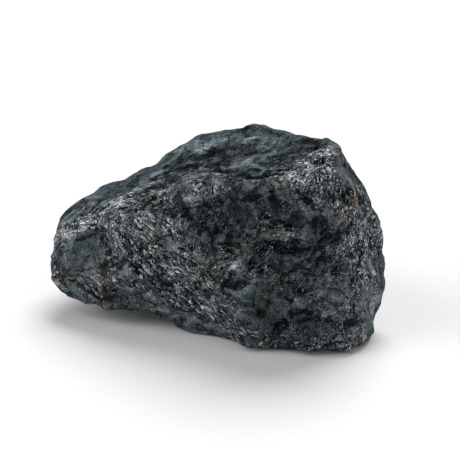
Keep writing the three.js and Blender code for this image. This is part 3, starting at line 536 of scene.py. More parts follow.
# open cracks, with the painted shadow in the undercut slits of the top face among them; and pale veins and worn edges,
# with painted highlights among them
CRACKS_AND_SLIT_SHADE = (
    (1.00, 0.9, (-29.4, -22.5, 25.5), (-26.4, -25.0, 24.0), (-24.6, -26.7, 21.7), (-22.8, -27.8, 19.5)),
    (0.80, 0.9, (-35.6, -26.6, 15.5), (-31.3, -26.9, 16.9), (-27.4, -27.1, 18.5), (-24.8, -27.1, 20.2)),
    (1.00, 0.9, (-38.1, -27.0, 12.4), (-35.6, -27.3, 12.5), (-33.0, -27.9, 11.0), (-29.9, -27.5, 9.1), (-27.5, -26.9, 7.6)),
    (0.80, 0.9, (-43.6, -17.6, 24.3), (-40.4, -17.1, 27.1), (-37.8, -14.1, 30.7), (-35.1, -12.0, 32.6), (-32.2, -11.1, 33.7)),
    (1.00, 0.9, (-25.5, -19.4, 34.1), (-21.2, -19.3, 36.2), (-17.1, -19.4, 37.8)),
    (0.90, 0.9, (-34.2, -19.7, 27.0), (-30.7, -21.2, 26.7), (-28.1, -22.2, 28.1)),
    (1.00, 0.9, (7.1, -25.6, 24.4), (9.1, -25.8, 24.2), (11.1, -26.1, 23.3)),
    (1.00, 0.9, (22.0, -22.8, 39.6), (25.9, -22.0, 39.0), (29.7, -20.8, 37.4)),
    (1.00, 0.9, (10.1, -25.1, 29.9), (13.0, -24.6, 31.3), (16.0, -24.4, 31.1), (16.6, -25.0, 27.8), (13.8, -25.7, 26.4), (11.0, -25.7, 26.6)),
    (1.00, 1.2, (14.5, -26.0, 22.9), (11.7, -26.0, 18.8), (11.0, -25.9, 15.9), (14.2, -26.0, 15.2)),
    (0.90, 0.9, (25.3, -24.5, 18.4), (28.7, -23.8, 17.1), (31.5, -23.0, 15.7)),
    (0.80, 0.9, (21.5, -25.0, 20.7), (20.9, -25.7, 16.5), (20.6, -26.3, 13.0)),
    (0.80, 0.9, (26.3, -23.9, 19.8), (25.5, -24.8, 16.4), (24.9, -25.5, 13.1)),
    (0.90, 0.9, (41.2, -17.8, 23.6), (43.1, -16.5, 23.5), (44.8, -14.8, 24.1)),
    (0.45, 1.7, (-0.8, 4.1, 49.0), (6.5, 1.5, 50.7), (12.1, 0.3, 52.7), (17.2, -1.3, 54.7), (21.7, -1.0, 56.4)),
    (1.00, 2.6, (-0.8, -8.0, 46.7), (5.1, -11.3, 47.8), (12.9, -17.5, 50.1)),
    (1.00, 1.7, (14.2, -20.5, 50.0), (21.8, -22.4, 51.6), (27.5, -23.1, 53.4), (30.9, -22.7, 55.2)),
    (1.00, 2.0, (26.1, -21.4, 54.5), (28.4, -18.2, 56.2), (28.5, -9.4, 56.0)),
    (1.00, 2.0, (27.8, -9.3, 55.9), (31.5, -6.2, 56.6)),
    (1.00, 1.7, (35.5, -19.6, 56.6), (38.6, -16.8, 55.9)),
    (1.00, 1.7, (-17.9, -13.1, 40.1), (-9.2, -17.6, 43.2), (-6.3, -12.8, 45.2), (-7.7, -1.5, 44.8)),
    (1.00, 1.7, (-16.9, -3.2, 41.3), (-16.6, 0.3, 42.5), (-16.4, 3.5, 43.8)),
    (0.90, 0.9, (44.8, -5.5, 34.5), (45.8, -3.8, 30.5), (45.3, 0.5, 25.2)),
    (0.90, 1.2, (44.8, -12.8, 32.7), (45.8, -10.3, 29.0), (46.6, -8.0, 24.7)),
    (0.90, 0.9, (48.3, 3.3, 27.8), (47.2, 4.3, 23.0), (47.9, 2.5, 19.3), (49.9, 0.7, 14.6)),
    (0.80, 0.9, (48.5, -6.4, 10.5), (49.1, -2.8, 10.8), (50.3, -0.1, 11.9)),
    (0.80, 0.9, (41.0, -17.9, 19.7), (44.0, -16.1, 18.0), (46.1, -14.4, 14.3), (46.2, -15.1, 11.9)),
    (0.80, 0.9, (-13.5, -26.4, 26.7), (-10.8, -26.8, 23.5), (-6.9, -26.9, 19.8), (-3.5, -26.1, 17.0)),
    (0.80, 0.9, (-11.1, -27.7, 14.5), (-8.2, -25.9, 9.9), (-4.6, -24.1, 6.6)),
    (0.80, 0.9, (-0.6, -25.5, 11.6), (1.9, -24.1, 7.8), (5.6, -23.7, 5.1)),
    (0.90, 1.2, (1.9, -23.8, 34.3), (5.4, -24.4, 33.8), (7.5, -25.0, 31.2)),
    (0.90, 1.2, (26.1, -22.1, 29.4), (29.8, -20.8, 29.0), (32.5, -19.9, 30.3)),
    (0.80, 0.9, (32.8, -20.5, 26.9), (35.9, -19.3, 28.2), (39.7, -18.1, 27.7)),
    (0.80, 0.9, (17.4, -23.5, 34.7), (20.5, -23.4, 32.7), (20.8, -24.0, 29.3)),
    (0.90, 1.2, (38.2, -24.1, 4.1), (42.2, -23.4, 3.9), (45.5, -21.1, 4.5)),
    (0.80, 0.9, (30.3, -24.3, 10.2), (34.0, -23.0, 9.7), (38.1, -21.0, 10.9)),
    (0.80, 0.9, (18.3, -26.8, 11.6), (22.5, -26.4, 10.9), (26.0, -25.8, 8.8)),
    (0.80, 0.9, (38.2, -20.3, 53.1), (41.1, -16.7, 50.1), (42.9, -13.5, 45.8)),
    (0.80, 0.9, (22.2, -23.5, 49.6), (25.3, -23.6, 47.7), (25.7, -23.0, 44.6)),
    (0.80, 0.9, (32.3, -23.3, 49.2), (34.7, -21.6, 46.0), (37.6, -19.8, 44.1)),
    (0.90, 0.9, (4.8, -23.1, 38.1), (7.6, -23.8, 36.3), (8.6, -24.5, 33.7)),
)
VEINS_AND_HIGHLIGHTS = (
    (1.00, 0.7, (-39.0, -26.7, 13.0), (-36.0, -27.0, 13.3), (-33.0, -27.8, 11.9), (-29.8, -27.5, 10.1), (-27.5, -26.9, 8.6)),
    (0.90, 0.7, (-28.5, -22.8, 25.7), (-25.5, -25.4, 24.2), (-23.9, -26.8, 22.1)),
    (0.80, 0.7, (-41.1, -21.0, 21.3), (-41.2, -23.0, 18.1), (-38.9, -25.4, 16.1)),
    (0.80, 0.7, (-11.9, -27.5, 12.7), (-9.1, -26.7, 11.6), (-8.5, -25.4, 8.7), (-7.1, -24.2, 6.5)),
    (0.70, 0.7, (-10.2, -25.8, 8.8), (-7.0, -25.7, 9.7), (-4.1, -25.0, 9.0)),
    (1.00, 0.7, (-47.0, -15.2, 24.3), (-44.2, -15.2, 26.6), (-41.5, -13.6, 29.0), (-39.4, -11.0, 31.1), (-36.8, -8.1, 32.7)),
    (0.80, 0.7, (-28.9, -16.7, 34.0), (-24.4, -16.1, 36.3), (-19.0, -17.7, 38.2)),
    (0.90, 0.7, (27.2, -23.7, 19.6), (29.1, -23.3, 18.5), (31.1, -22.8, 17.8)),
    (0.80, 0.9, (32.5, -22.4, 16.6), (35.0, -21.1, 17.5), (37.5, -19.7, 18.9), (39.4, -18.6, 19.7)),
    (0.70, 0.7, (35.1, -21.4, 15.2), (36.6, -20.6, 16.3), (38.1, -19.7, 17.5)),
    (0.70, 0.7, (23.8, -22.7, 42.5), (27.3, -22.5, 43.5), (30.8, -22.2, 44.5)),
    (0.20, 0.9, (-1.3, 6.1, 50.0), (4.9, 5.1, 51.3), (9.6, 6.2, 52.9), (13.7, 7.1, 53.7)),
    (0.60, 1.2, (15.6, -22.2, 49.5), (22.1, -23.2, 50.9), (27.0, -23.5, 52.6)),
    (0.80, 1.2, (27.6, -20.5, 55.6), (30.8, -18.3, 56.8), (34.5, -16.9, 57.7), (35.2, -9.6, 55.4)),
    (0.30, 0.9, (-0.8, -2.3, 47.2), (4.8, -4.8, 48.0), (10.8, -8.4, 50.1)),
    (0.30, 0.9, (1.5, 1.2, 48.6), (6.7, -0.4, 50.4), (12.0, -2.3, 52.2)),
    (0.80, 0.7, (42.1, -16.6, 29.4), (43.4, -15.4, 31.0), (44.6, -13.8, 31.2)),
    (0.80, 0.7, (44.3, -10.2, 38.4), (44.6, -5.9, 35.2), (45.3, -4.1, 32.3)),
    (0.80, 0.7, (46.6, -7.2, 26.2), (47.3, -5.7, 22.8), (48.2, -4.5, 19.4)),
    (0.80, 0.7, (46.4, -11.4, 21.6), (47.4, -9.0, 19.0), (48.1, -7.4, 16.1)),
    (0.70, 0.7, (19.6, -25.3, 0.6), (25.6, -24.8, 1.2), (35.0, -25.2, 2.4)),
    (0.70, 0.7, (-14.6, -26.9, 25.5), (-11.3, -27.2, 22.4), (-8.1, -27.1, 20.3)),
    (0.70, 0.7, (-8.1, -27.2, 16.0), (-4.7, -26.3, 13.1), (-2.0, -25.3, 10.1)),
    (0.70, 0.7, (2.9, -24.8, 10.0), (5.8, -24.3, 7.9), (9.5, -25.3, 5.1)),
    (0.70, 0.7, (11.8, -26.2, 8.4), (15.0, -27.8, 6.4), (17.9, -28.6, 5.4)),
    (0.60, 1.2, (-13.2, -8.1, 42.6), (-12.0, -2.3, 43.5), (-9.3, 1.9, 45.1)),
    (0.60, 1.2, (-3.6, -18.5, 44.6), (-0.6, -16.7, 46.3), (1.9, -13.9, 46.9)),
    (0.20, 0.9, (-8.8, 8.1, 49.7), (-6.9, 9.7, 51.4), (-4.6, 10.4, 52.4)),
    (0.60, 0.7, (22.3, -25.9, 13.8), (23.5, -25.9, 12.1), (25.8, -25.4, 11.7)),
    (0.60, 0.7, (5.8, -25.4, 22.6), (7.9, -25.8, 20.6), (9.8, -26.0, 19.7)),
    (0.60, 0.7, (16.4, -25.3, 26.0), (18.1, -25.1, 24.4), (17.7, -25.5, 22.1)),
    (0.80, 1.2, (-11.3, 5.4, 46.4), (-8.3, 5.3, 47.4), (-6.2, 5.2, 48.1)),
    (0.40, 0.9, (-9.4, 6.3, 48.0), (-5.9, 6.0, 48.8)),
    (1.00, 1.7, (13.6, -26.0, 23.4), (15.3, -25.7, 25.1), (16.3, -25.2, 26.9)),
    (0.50, 0.9, (33.9, -22.2, 55.2), (36.2, -21.9, 53.6)),
    (0.90, 1.2, (-31.6, -16.7, 32.7), (-27.6, -16.6, 34.8), (-23.8, -17.4, 36.2)),
)
# where the form is fuller, and where hollower, than the blocked-out stone, mm first
FULLER = (
    (0.60, 1.7, (3.2, 9.8, 54.8), (4.7, 9.4, 55.1)),
    (0.90, 2.0, (33.7, -3.2, 57.6), (36.9, -4.4, 56.5)),
    (0.90, 2.9, (47.3, 4.0, 29.6), (48.1, 4.1, 25.0), (48.1, 4.3, 20.6)),
    (0.50, 2.3, (-46.6, -22.0, 15.0), (-43.2, -26.5, 12.0)),
)
HOLLOWER = (
    (0.60, 4.1, (-47.3, -12.0, 27.7), (-43.7, -9.5, 30.3), (-40.7, -4.8, 32.5)),
    (0.70, 3.5, (-39.4, -4.6, 32.9), (-34.5, -1.9, 35.3), (-29.7, 0.8, 37.7)),
    (0.60, 3.5, (-27.8, -0.2, 38.3), (-24.7, 3.8, 40.0), (-22.5, 8.3, 42.2)),
    (0.50, 3.5, (-20.2, 9.2, 44.2), (-15.7, 9.9, 47.7)),
    (0.40, 2.9, (-8.8, 9.4, 50.6), (1.2, 9.1, 53.5)),
    (1.20, 2.0, (11.0, 8.8, 54.8), (15.9, 8.7, 54.5), (19.0, 9.7, 54.3)),
    (0.50, 1.4, (30.4, -4.3, 57.4), (30.9, -3.9, 57.7)),
    (1.10, 3.2, (40.7, -4.5, 50.5), (42.9, -3.7, 46.4), (44.4, -2.4, 42.2)),
    (0.90, 2.9, (48.9, -2.0, 7.3), (49.9, -6.2, 3.4), (49.5, -10.0, 0.5)),
)
UP = N[:, 2]
on_top = smoothstep(0.45, 0.75, UP)
behind_brow = smoothstep(-19.0, -12.0, P[:, 1] - 0.02 * P[:, 0]) * smoothstep(0.15, 0.5, UP)
on_left_band = patch(5.0, *LEFT_BAND)
on_front_left = np.maximum(patch(11.0, *FRONT_LEFT), patch(9.0, *FRONT_LOW)) * smoothstep(0.3, -0.3, N[:, 1])
on_dark_front = patch(11.0, *DARK_FRONT) * smoothstep(-0.2, -0.6, N[:, 1])
on_right_end = smoothstep(0.50, 0.95, N[:, 0] + 0.22 * fbm(P / 6, 391, 3))
on_left_facet = patch(6.5, *LEFT_FACET, soft=0.35)
on_brow = patch(3.2, *BROW)
BACK_RIM = ((-42.0, -6.0, 31.0), (-32.7, 2.5, 36.2), (-24.0, 7.5, 42.0), (-15.7, 10.5, 47.7), (-4.0, 9.5, 51.5), (6.0, 9.5, 54.5), (12.0, 10.0, 55.0), (22.0, 7.0, 56.5))
on_back_rim = patch(6.0, *BACK_RIM, soft=0.7)

# ------------------------------------------------------------------ relief, mm out of the surface
warp = np.stack([fbm(P / 9, 301, 3), fbm(P / 9, 311, 3), fbm(P / 9, 321, 3)], 1)
Q = P + warp * 1.6
mean = neighbour_mean(mesh)


def smooth(v, steps):
    for _ in range(steps):
        v = 0.35 * v + 0.65 * mean(v)
    return v


swell = 0.55 * fbm(P / 14, 11, 2)
big, big_ridge, big_tone = hackle(Q, 9.5, 21, 0.18, 0.18)
mid, mid_ridge, mid_tone = hackle(Q, 4.4, 31, 0.36, 0.36)
small, small_ridge, _ = hackle(Q, 2.1, 41, 0.28, 0.28)
slant = along((0.83, -0.1, -0.55), 5.0)
small_slant, _, _ = hackle(Q, 1.25, 51, 0.34, 0.30, stretch=slant)
upright = along((-0.1, 0.25, -1.0), 3.0)
small_upright, _, _ = hackle(Q, 1.4, 61, 0.30, 0.30, stretch=upright)
bedding = along((0.917, 0.05, 0.399), 5.0)
small_bed, _, _ = hackle(Q, 1.5, 71, 0.34, 0.32, stretch=bedding)
grit = 0.035 * fbm(P / 1.4, 81, 2, gain=0.6)

# ledges of the top face: steps that follow the brow and break off
across = (P @ np.array([-0.30, 0.82, -0.1])) + 1.9 * fbm(bedding(P) / 6, 91, 3)
step = across / 6.5
ledge = (step - np.floor(step)) ** 3.2
ledge = ledge * (0.35 + 0.65 * smoothstep(-0.2, 0.5, fbm(bedding(P) / 8, 95, 2)))

crumble = np.stack([fbm(P / 3.2, 501, 4, 0.6), fbm(P / 3.2, 511, 4, 0.6), fbm(P / 3.2, 521, 4, 0.6)], 1) * 0.6
whole = P
P = P + crumble  # spots get crumbled edges


def spots(kind, soft=0.0):
    out = np.zeros(len(P))
    for amount, radius, *points in kind:
        out = np.maximum(out, amount * (1 - smoothstep((0.55 - soft) * radius, (1.35 + soft) * radius + 0.2, reach(*points))))
    return out


lit, sunk_and_shaded, browned, rusted = (spots(k, 0.25) for k in (PALE_AND_HIGHLIGHT_SPOTS, DARK_AND_SHADE_SPOTS, BROWN_SPOTS, RUST_SPOTS))
smooth_face, crumbly = spots(SMOOTH_SPOTS), spots(CRUMBLY_SPOTS)
violet = spots(VIOLET_SPOTS, 0.4) - spots(OLIVE_SPOTS, 0.4)
P = whole + crumble * 0.7


def drawn(kind):
    """1 on each line, falling evenly to 0 away from it."""
    out = np.zeros(len(P))
    for amount, radius, *points in kind:
        out = np.maximum(out, np.clip(1 - reach(*points) / (1.8 * radius), 0, 1) * (0.6 + 0.4 * amount))
    return out


cut, vein_and_highlight = drawn(CRACKS_AND_SLIT_SHADE), drawn(VEINS_AND_HIGHLIGHTS)
P = whole
crumb = 0.50 + 0.38 * fbm(P / 7, 531, 3) + 0.30 * on_left_band + 0.22 * on_front_left + 0.30 * on_right_end
crumb += 0.25 * patch(5.0, *SHOULDER) - 0.18 * on_dark_front - 0.30 * behind_brow - 0.5 * on_left_facet - 0.6 * on_back_rim
crumb = np.clip(crumb + 0.75 * crumbly - 0.95 * smooth_face * (1 - 0.6 * crumbly), 0, 1)
rough_ground = 0.25 + 0.75 * smoothstep(0.3, 0.7, crumb)

calm = (1 - 0.75 * on_left_facet) * (1 - 0.5 * on_back_rim)
RIGHT_RIM = ((41.0, -4.0, 54.0), (43.5, -3.0, 47.0), (46.5, 0.0, 37.0), (49.0, 0.0, 25.0), (49.5, 0.0, 14.0), (49.0, -4.0, 5.0))
rim = patch(9.0, *RIGHT_RIM, soft=0.6)
calm *= 1 - 0.45 * rim
rough_ground *= 1 - 0.6 * rim
relief = swell + big * calm + mid * calm * (0.35 + 0.65 * rough_ground)
relief += small * 0.68 * rough_ground * (1 - 0.4 * on_front_left)
relief += small_slant * on_front_left * 0.4 * rough_ground
relief += small_upright * on_right_end * 0.5 * rough_ground
relief += small_bed * np.clip(on_top + on_left_band, 0, 1) * 0.75 * rough_ground
relief += smooth(ledge * 0.75, 1) * behind_brow * (1 - 0.85 * on_back_rim)
relief += grit * rough_ground
relief += 0.28 * smooth(lit, 3) - 0.85 * smooth(sunk_and_shaded, 4)
relief -= 0.55 * smoothstep(0.45, 0.95, cut)
relief += 0.18 * smoothstep(0.45, 0.95, vein_and_highlight)
SLITS = (
    ((2.7, -10.1, 47.1), (7.0, -12.0, 48.4), (11.5, -14.2, 49.8)), ((14.5, -18.0, 50.6), (19.2, -19.0, 52.1)),
    ((-19.1, -13.5, 39.8), (-12.0, -11.0, 43.0)),
)
slit = np.zeros(len(P))
for line in SLITS:
    slit = np.maximum(slit, 0.9 * np.exp(-((reach(*line) + 0.5 * warp[:, 0]) / 1.1) ** 2))
relief -= slit

relief -= relief.mean() - 0.12
for form, sign in ((FULLER, 1), (HOLLOWER, -1)):
    for amount, radius, *points in form:
        relief += sign * amount * (1 - smoothstep(0.0, 1.6 * radius, reach(*points)))
settled = smoothstep(0.2, 2.2, P[:, 2])
relief = relief * settled
D = P + N * relief[:, None]
D[:, 2] = np.maximum(D[:, 2], 0.0)
put_vertices(mesh, D * MM)

# how far each spot stands out of its surroundings, near and far; the tone uses these as painted light on rises and
# painted shade in hollows
near_relief_shading = relief - smooth(relief, 10)
far = relief - smooth(relief, 90)


def attribute(name, values):
    a = mesh.attributes.new(name, "FLOAT", "POINT")
    a.data.foreach_set("value", np.ascontiguousarray(values, dtype=np.float32))


# ------------------------------------------------------------------ tone and grain zones
broad = fbm(P / 9, 401, 3)
shown = smoothstep(0.15, -0.2, N[:, 1]) * smoothstep(-0.6, -0.3, UP)  # the face the spots lie on
# painted light: the back rim, the left band, the front left, the shoulder and the middle of the brow made paler where
# light falls on them; plus a broad random tone
light = 0.22 * on_back_rim + 0.75 * on_left_band + 0.22 * on_front_left + 0.50 * patch(4.5, *SHOULDER) + 0.2 * patch(4.0, *BROW_MID) + 0.02 * on_right_end
light += (0.16 + 0.14 * (1 - shown)) * broad
# painted shade: the top face and the back made darker for how light falls on them, the dark front partly dark stone and
# partly painted shade, and painted shadow in the slits; the right end and the left facet a little darker in tone
darker_and_shaded = 0.55 * on_top * (1 - 0.6 * on_back_rim) + 0.15 * on_right_end + 0.78 * on_dark_front + 0.25 * on_left_facet
on_back = smoothstep(0.0, 0.5, N[:, 1]) * (1 - on_back_rim) * (1 - on_top)
darker_and_shaded += 0.7 * smoothstep(0.2, 0.7, slit) + 0.65 * on_back
# share of painted glints, which also sets how open the black grooves are
glint_share = 0.75 * on_left_band + 0.45 * on_front_left + 0.78 * on_right_end + 0.6 * patch(4.0, *BROW_MID) + 0.8 * patch(5.0, *SHOULDER)
glint_share += 0.30 + 0.30 * fbm(P / 5, 411, 3) + 0.35 * lit + 0.35 * crumbly
glint_share *= 1 - 0.75 * on_left_facet
glint_share *= 1 - 0.5 * on_dark_front
glint_share *= 1 - 0.8 * on_back_rim
glint_share *= 1 - 0.45 * behind_brow * (1 - crumbly)
brown = browned + 0.45 * smoothstep(0.45, 0.9, fbm(P / 6, 421, 3))
rust = rusted + 0.5 * smoothstep(0.75, 1.1, fbm(P / 5, 431, 3)) * (1 - shown)
attribute("lit", lit)
attribute("sunk_and_shaded", sunk_and_shaded)
attribute("light", np.clip(light, 0, 1.4))
attribute("darker_and_shaded", np.clip(darker_and_shaded, 0, 1.3))
attribute("glint_share", np.clip(glint_share, 0, 1.3))
attribute("brown", np.clip(brown, 0, 1))
attribute("rust", np.clip(rust, 0, 1))
attribute("slant", np.clip(on_front_left, 0, 1))
attribute("upright", np.clip(on_right_end, 0, 1))
attribute("bedded", np.clip(on_top + on_left_band + 0.6 * on_brow, 0, 1))
attribute("crumb", crumb)
attribute("bluish", np.clip(on_top + 0.4 * on_left_band, 0, 1))
attribute("violet", violet)
attribute("cut", cut)
attribute("vein_and_highlight", vein_and_highlight)
attribute("plain", np.clip(0.8 * smooth_face + 0.95 * on_left_facet + 0.6 * on_back_rim + 0.75 * on_dark_front * (1 - crumbly) + 0.5 * on_back, 0, 1))
attribute("facet", 0.5 * big_tone + 0.5 * mid_tone)
# painted highlight along the ridges of the facets
crest_highlight = 0.8 * smoothstep(0.22, 0.0, mid_ridge) + 0.6 * smoothstep(0.14, 0.0, small_ridge) + 0.5 * smoothstep(0.3, 0.0, big_ridge)
attribute("crest_highlight", np.clip(crest_highlight, 0, 1) * (1 - 0.6 * on_back_rim))
attribute("near_relief_shading", near_relief_shading)
attribute("far", far)
mesh.polygons.foreach_set("use_smooth", np.ones(len(mesh.polygons), bool))
mesh.update()


# ------------------------------------------------------------------ the surface laid flat: six plain views of the worn stone, side by side
def lay_flat():
    """Each face lies in the view that it faces most, taken before the relief, so that nothing overlaps."""
    facing = N
    for _ in range(25):
        facing = np.stack([mean(facing[:, i]) for i in range(3)], 1)
    count = len(mesh.loops)
    corner = np.empty(count, np.int32)
    mesh.loops.foreach_get("vertex_index", corner)
    size = np.empty(len(mesh.polygons), np.int32)
    mesh.polygons.foreach_get("loop_total", size)
    face = np.repeat(np.arange(len(size)), size)
    n = np.stack([np.bincount(face, facing[corner, i]) for i in range(3)], 1)
    axis = np.abs(n).argmax(axis=1)
    view = 2 * axis + (n[np.arange(len(n)), axis] < 0)
    at = P[corner]
    views = (  # across, up and the place of each view's middle, mm
        ((0, 1, 0), (0, 0, 1), (-52, 63)), ((0, -1, 0), (0, 0, 1), (52, 63)),
        ((-1, 0, 0), (0, 0, 1), (52, 0)), ((1, 0, 0), (0, 0, 1), (-52, 0)),
        ((1, 0, 0), (0, 1, 0), (-52, -63)), ((-1, 0, 0), (0, 1, 0), (52, -63)),
    )
    uv = np.zeros((count, 2))
    middle = (P.min(axis=0) + P.max(axis=0)) / 2
    for i, (across, up, place) in enumerate(views):
        here = view[face] == i
        uv[here, 0] = (at[here] - middle) @ np.array(across) + place[0]
        uv[here, 1] = (at[here] - middle) @ np.array(up) + place[1]
    layer = mesh.uv_layers.new(name="OFBake")
    layer.data.foreach_set("uv", (uv / 212 + 0.5).astype(np.float32).ravel())


lay_flat()


# ------------------------------------------------------------------ the material
def make_material():
    mat = bpy.data.materials.new("larvikite")
    mat.use_nodes = True
    nt = mat.node_tree
    nt.nodes.clear()

    def node(kind, **props):
        n = nt.nodes.new(kind)
        for k, v in props.items():
            setattr(n, k, v)
        return n

    def put(socket, value):
        if isinstance(value, bpy.types.NodeSocket):
            nt.links.new(value, socket)
        elif hasattr(socket, "default_value"):
            if isinstance(value, (int, float)) and socket.type == "RGBA":
                value = (value, value, value, 1)
            if isinstance(value, tuple) and len(value) == 3 and socket.type == "RGBA":
                value = (*value, 1)
            socket.default_value = value

    def m(op, a, b=0.0, c=0.0, clamp=False):
        n = node("ShaderNodeMath", operation=op, use_clamp=clamp)
        put(n.inputs[0], a)
        put(n.inputs[1], b)
        put(n.inputs[2], c)
        return n.outputs[0]

    def vm(op, a, b=(0, 0, 0), scale=1.0):
        n = node("ShaderNodeVectorMath", operation=op)
        put(n.inputs[0], a)
        put(n.inputs[1], b)
        put(n.inputs[3], scale)
        return n.outputs[0]

    def step(x, a, b, lo=0.0, hi=1.0):
        n = node("ShaderNodeMapRange", interpolation_type="SMOOTHSTEP")
        for s, v in zip(n.inputs, (x, a, b, lo, hi)):
            put(s, v)
        return n.outputs[0]

    def mixc(f, a, b, blend="MIX"):
        n = node("ShaderNodeMix", data_type="RGBA", blend_type=blend)
        put(n.inputs[0], f)
        put(n.inputs[6], a)
        put(n.inputs[7], b)
        return n.outputs[2]

    def noise(v, scale, detail=2.0, rough=0.5, distort=0.0, out=0):
        n = node("ShaderNodeTexNoise")
        put(n.inputs["Vector"], v)
        put(n.inputs["Scale"], scale)
        put(n.inputs["Detail"], detail)
        put(n.inputs["Roughness"], rough)
        put(n.inputs["Distortion"], distort)
        return n.outputs[out]

    def voronoi(v, scale, feature="F1", randomness=1.0):
        n = node("ShaderNodeTexVoronoi", feature=feature)
        put(n.inputs["Vector"], v)
        put(n.inputs["Scale"], scale)
        put(n.inputs["Randomness"], randomness)
        return n

    def attr(name):
        return node("ShaderNodeAttribute", attribute_name=name).outputs["Fac"]

    def stretched(v, direction, by):
        """v squeezed along a direction, so that what is drawn in it runs that way."""
        d = Vector(direction).normalized()
        dot = node("ShaderNodeVectorMath", operation="DOT_PRODUCT")
        put(dot.inputs[0], v)
        put(dot.inputs[1], tuple(d))
        move = node("ShaderNodeVectorMath", operation="SCALE")
        put(move.inputs[0], tuple(d))
        put(move.inputs[3], m("MULTIPLY", dot.outputs["Value"], 1 - 1 / by))
        return vm("SUBTRACT", v, move.outputs[0])

    coord = node("ShaderNodeTexCoord").outputs["Object"]
    mm = vm("SCALE", coord, scale=1000.0)
    drift = vm("SCALE", vm("SUBTRACT", noise(mm, 0.16, 3, 0.55, out=1), (0.5, 0.5, 0.5)), scale=3.2)
    ripple = vm("SCALE", vm("SUBTRACT", noise(mm, 0.9, 2, 0.5, out=1), (0.5, 0.5, 0.5)), scale=0.9)
    w = vm("ADD", vm("ADD", mm, drift), ripple)

    light, darker_and_shaded, glint_share, near_relief_shading = attr("light"), attr("darker_and_shaded"), attr("glint_share"), attr("near_relief_shading")
    where = noise(w, 0.22, 3, 0.6)
    here = noise(w, 0.6, 3, 0.6)

    def split(colour):
        n = node("ShaderNodeSeparateColor")
        put(n.inputs[0], colour)
        return n.outputs

    def centred(x, by):
        return m("MULTIPLY", m("SUBTRACT", x, 0.5), by)

    # the grain's own run in each zone
    def run(name, direction, by, v):
        inside = step(m("ADD", centred(here, 1.2), attr(name)), 0.49, 0.51)
        return mixc(inside, v, stretched(w, direction, by))

    v = stretched(w, (0.6, 0.3, 0.5), 1.8)
    v = run("slant", (0.83, -0.1, -0.55), 4.5, v)
    v = run("upright", (-0.1, 0.25, -1.0), 2.6, v)
    v = run("bedded", (0.917, 0.05, 0.399), 4.5, v)

    # feldspars: each has its own tone, shaded across by its cleavage
    def feldspar(scale, flat, across):
        cell = voronoi(w, scale)
        c = split(cell.outputs["Color"])
        dot = node("ShaderNodeVectorMath", operation="DOT_PRODUCT")
        put(dot.inputs[0], vm("SUBTRACT", w, cell.outputs["Position"]))
        put(dot.inputs[1], vm("SUBTRACT", cell.outputs["Color"], (0.5, 0.5, 0.5)))
        return m("ADD", centred(c[0], flat), m("MULTIPLY", dot.outputs["Value"], across)), c[1], c[2]

    slabs, slab_pick, slab_high = feldspar(0.17, 0.17, 0.06)
    laths, lath_pick, lath_high = feldspar(0.42, 0.16, 0.09)
    crack = voronoi(w, 0.17, "DISTANCE_TO_EDGE").outputs["Distance"]
    joint = voronoi(w, 0.42, "DISTANCE_TO_EDGE").outputs["Distance"]

    # flakes: small broken laths of the crumbled places
    f = split(voronoi(v, 2.5).outputs["Color"])
    k = split(voronoi(v, 0.75).outputs["Color"])
    seam = voronoi(v, 0.75, "DISTANCE_TO_EDGE").outputs["Distance"]
    coarse = noise(v, 0.30, 4.0, 0.6, 0.3)
    silk = noise(v, 1.1, 2.0, 0.6)
    long_fine = noise(v, 0.6, 2.0, 0.6)
    long_below = noise(vm("ADD", v, (0.14, 0.12, 0.40)), 0.6, 2.0, 0.6)

    def lines(n, centre, width):
        """Thin lines where a pattern passes a value."""
        return step(m("ABSOLUTE", m("SUBTRACT", n, centre)), width, width * 0.35)

    # zones end along the crystals' own edges
    ragged = m("ADD", m("ADD", centred(lath_pick, 0.45), centred(k[2], 0.30)), centred(here, 0.5))

    def sharp(name, at=0.5, wobble=1.0, soft=0.10):
        return step(m("MULTIPLY_ADD", ragged, wobble, attr(name)), at - soft, at + soft)

    crumb = sharp("crumb", 0.5, 0.9, 0.07)
    lit, sunk_and_shaded = sharp("lit", 0.42, 0.9, 0.14), sharp("sunk_and_shaded", 0.42, 0.9, 0.08)
    lively = m("MULTIPLY_ADD", glint_share, 0.75, 0.30, clamp=True)

    # ground tone, 0 dark to 1 light
    uneven = m("MULTIPLY_ADD", attr("plain"), -0.75, 1.0)
    tone = m("ADD", centred(coarse, m("MULTIPLY_ADD", crumb, 0.26, 0.26)), 0.40)
    tone = m("ADD", tone, m("MULTIPLY", centred(attr("facet"), 0.28), uneven))
    tone = m("ADD", tone, m("MULTIPLY", m("ADD", slabs, laths), uneven))
    # thin crinkled edges that run over every face, each drawn as a line of painted light beside a line of painted shade
    crinkle = noise(v, 1.45, 3.0, 0.65)
    edging = m("SUBTRACT", lines(crinkle, 0.50, 0.032), lines(crinkle, 0.43, 0.032))
    tone = m("ADD", tone, m("MULTIPLY", edging, m("MULTIPLY_ADD", crumb, 0.16, 0.18)))
    tone = m("ADD", tone, centred(silk, m("MULTIPLY_ADD", crumb, 0.16, 0.18)))
    tone = m("ADD", tone, m("MULTIPLY", centred(k[0], 0.20), crumb))
    tone = m("ADD", tone, m("MULTIPLY", centred(f[0], 0.60), m("MULTIPLY_ADD", crumb, 0.8, 0.2)))
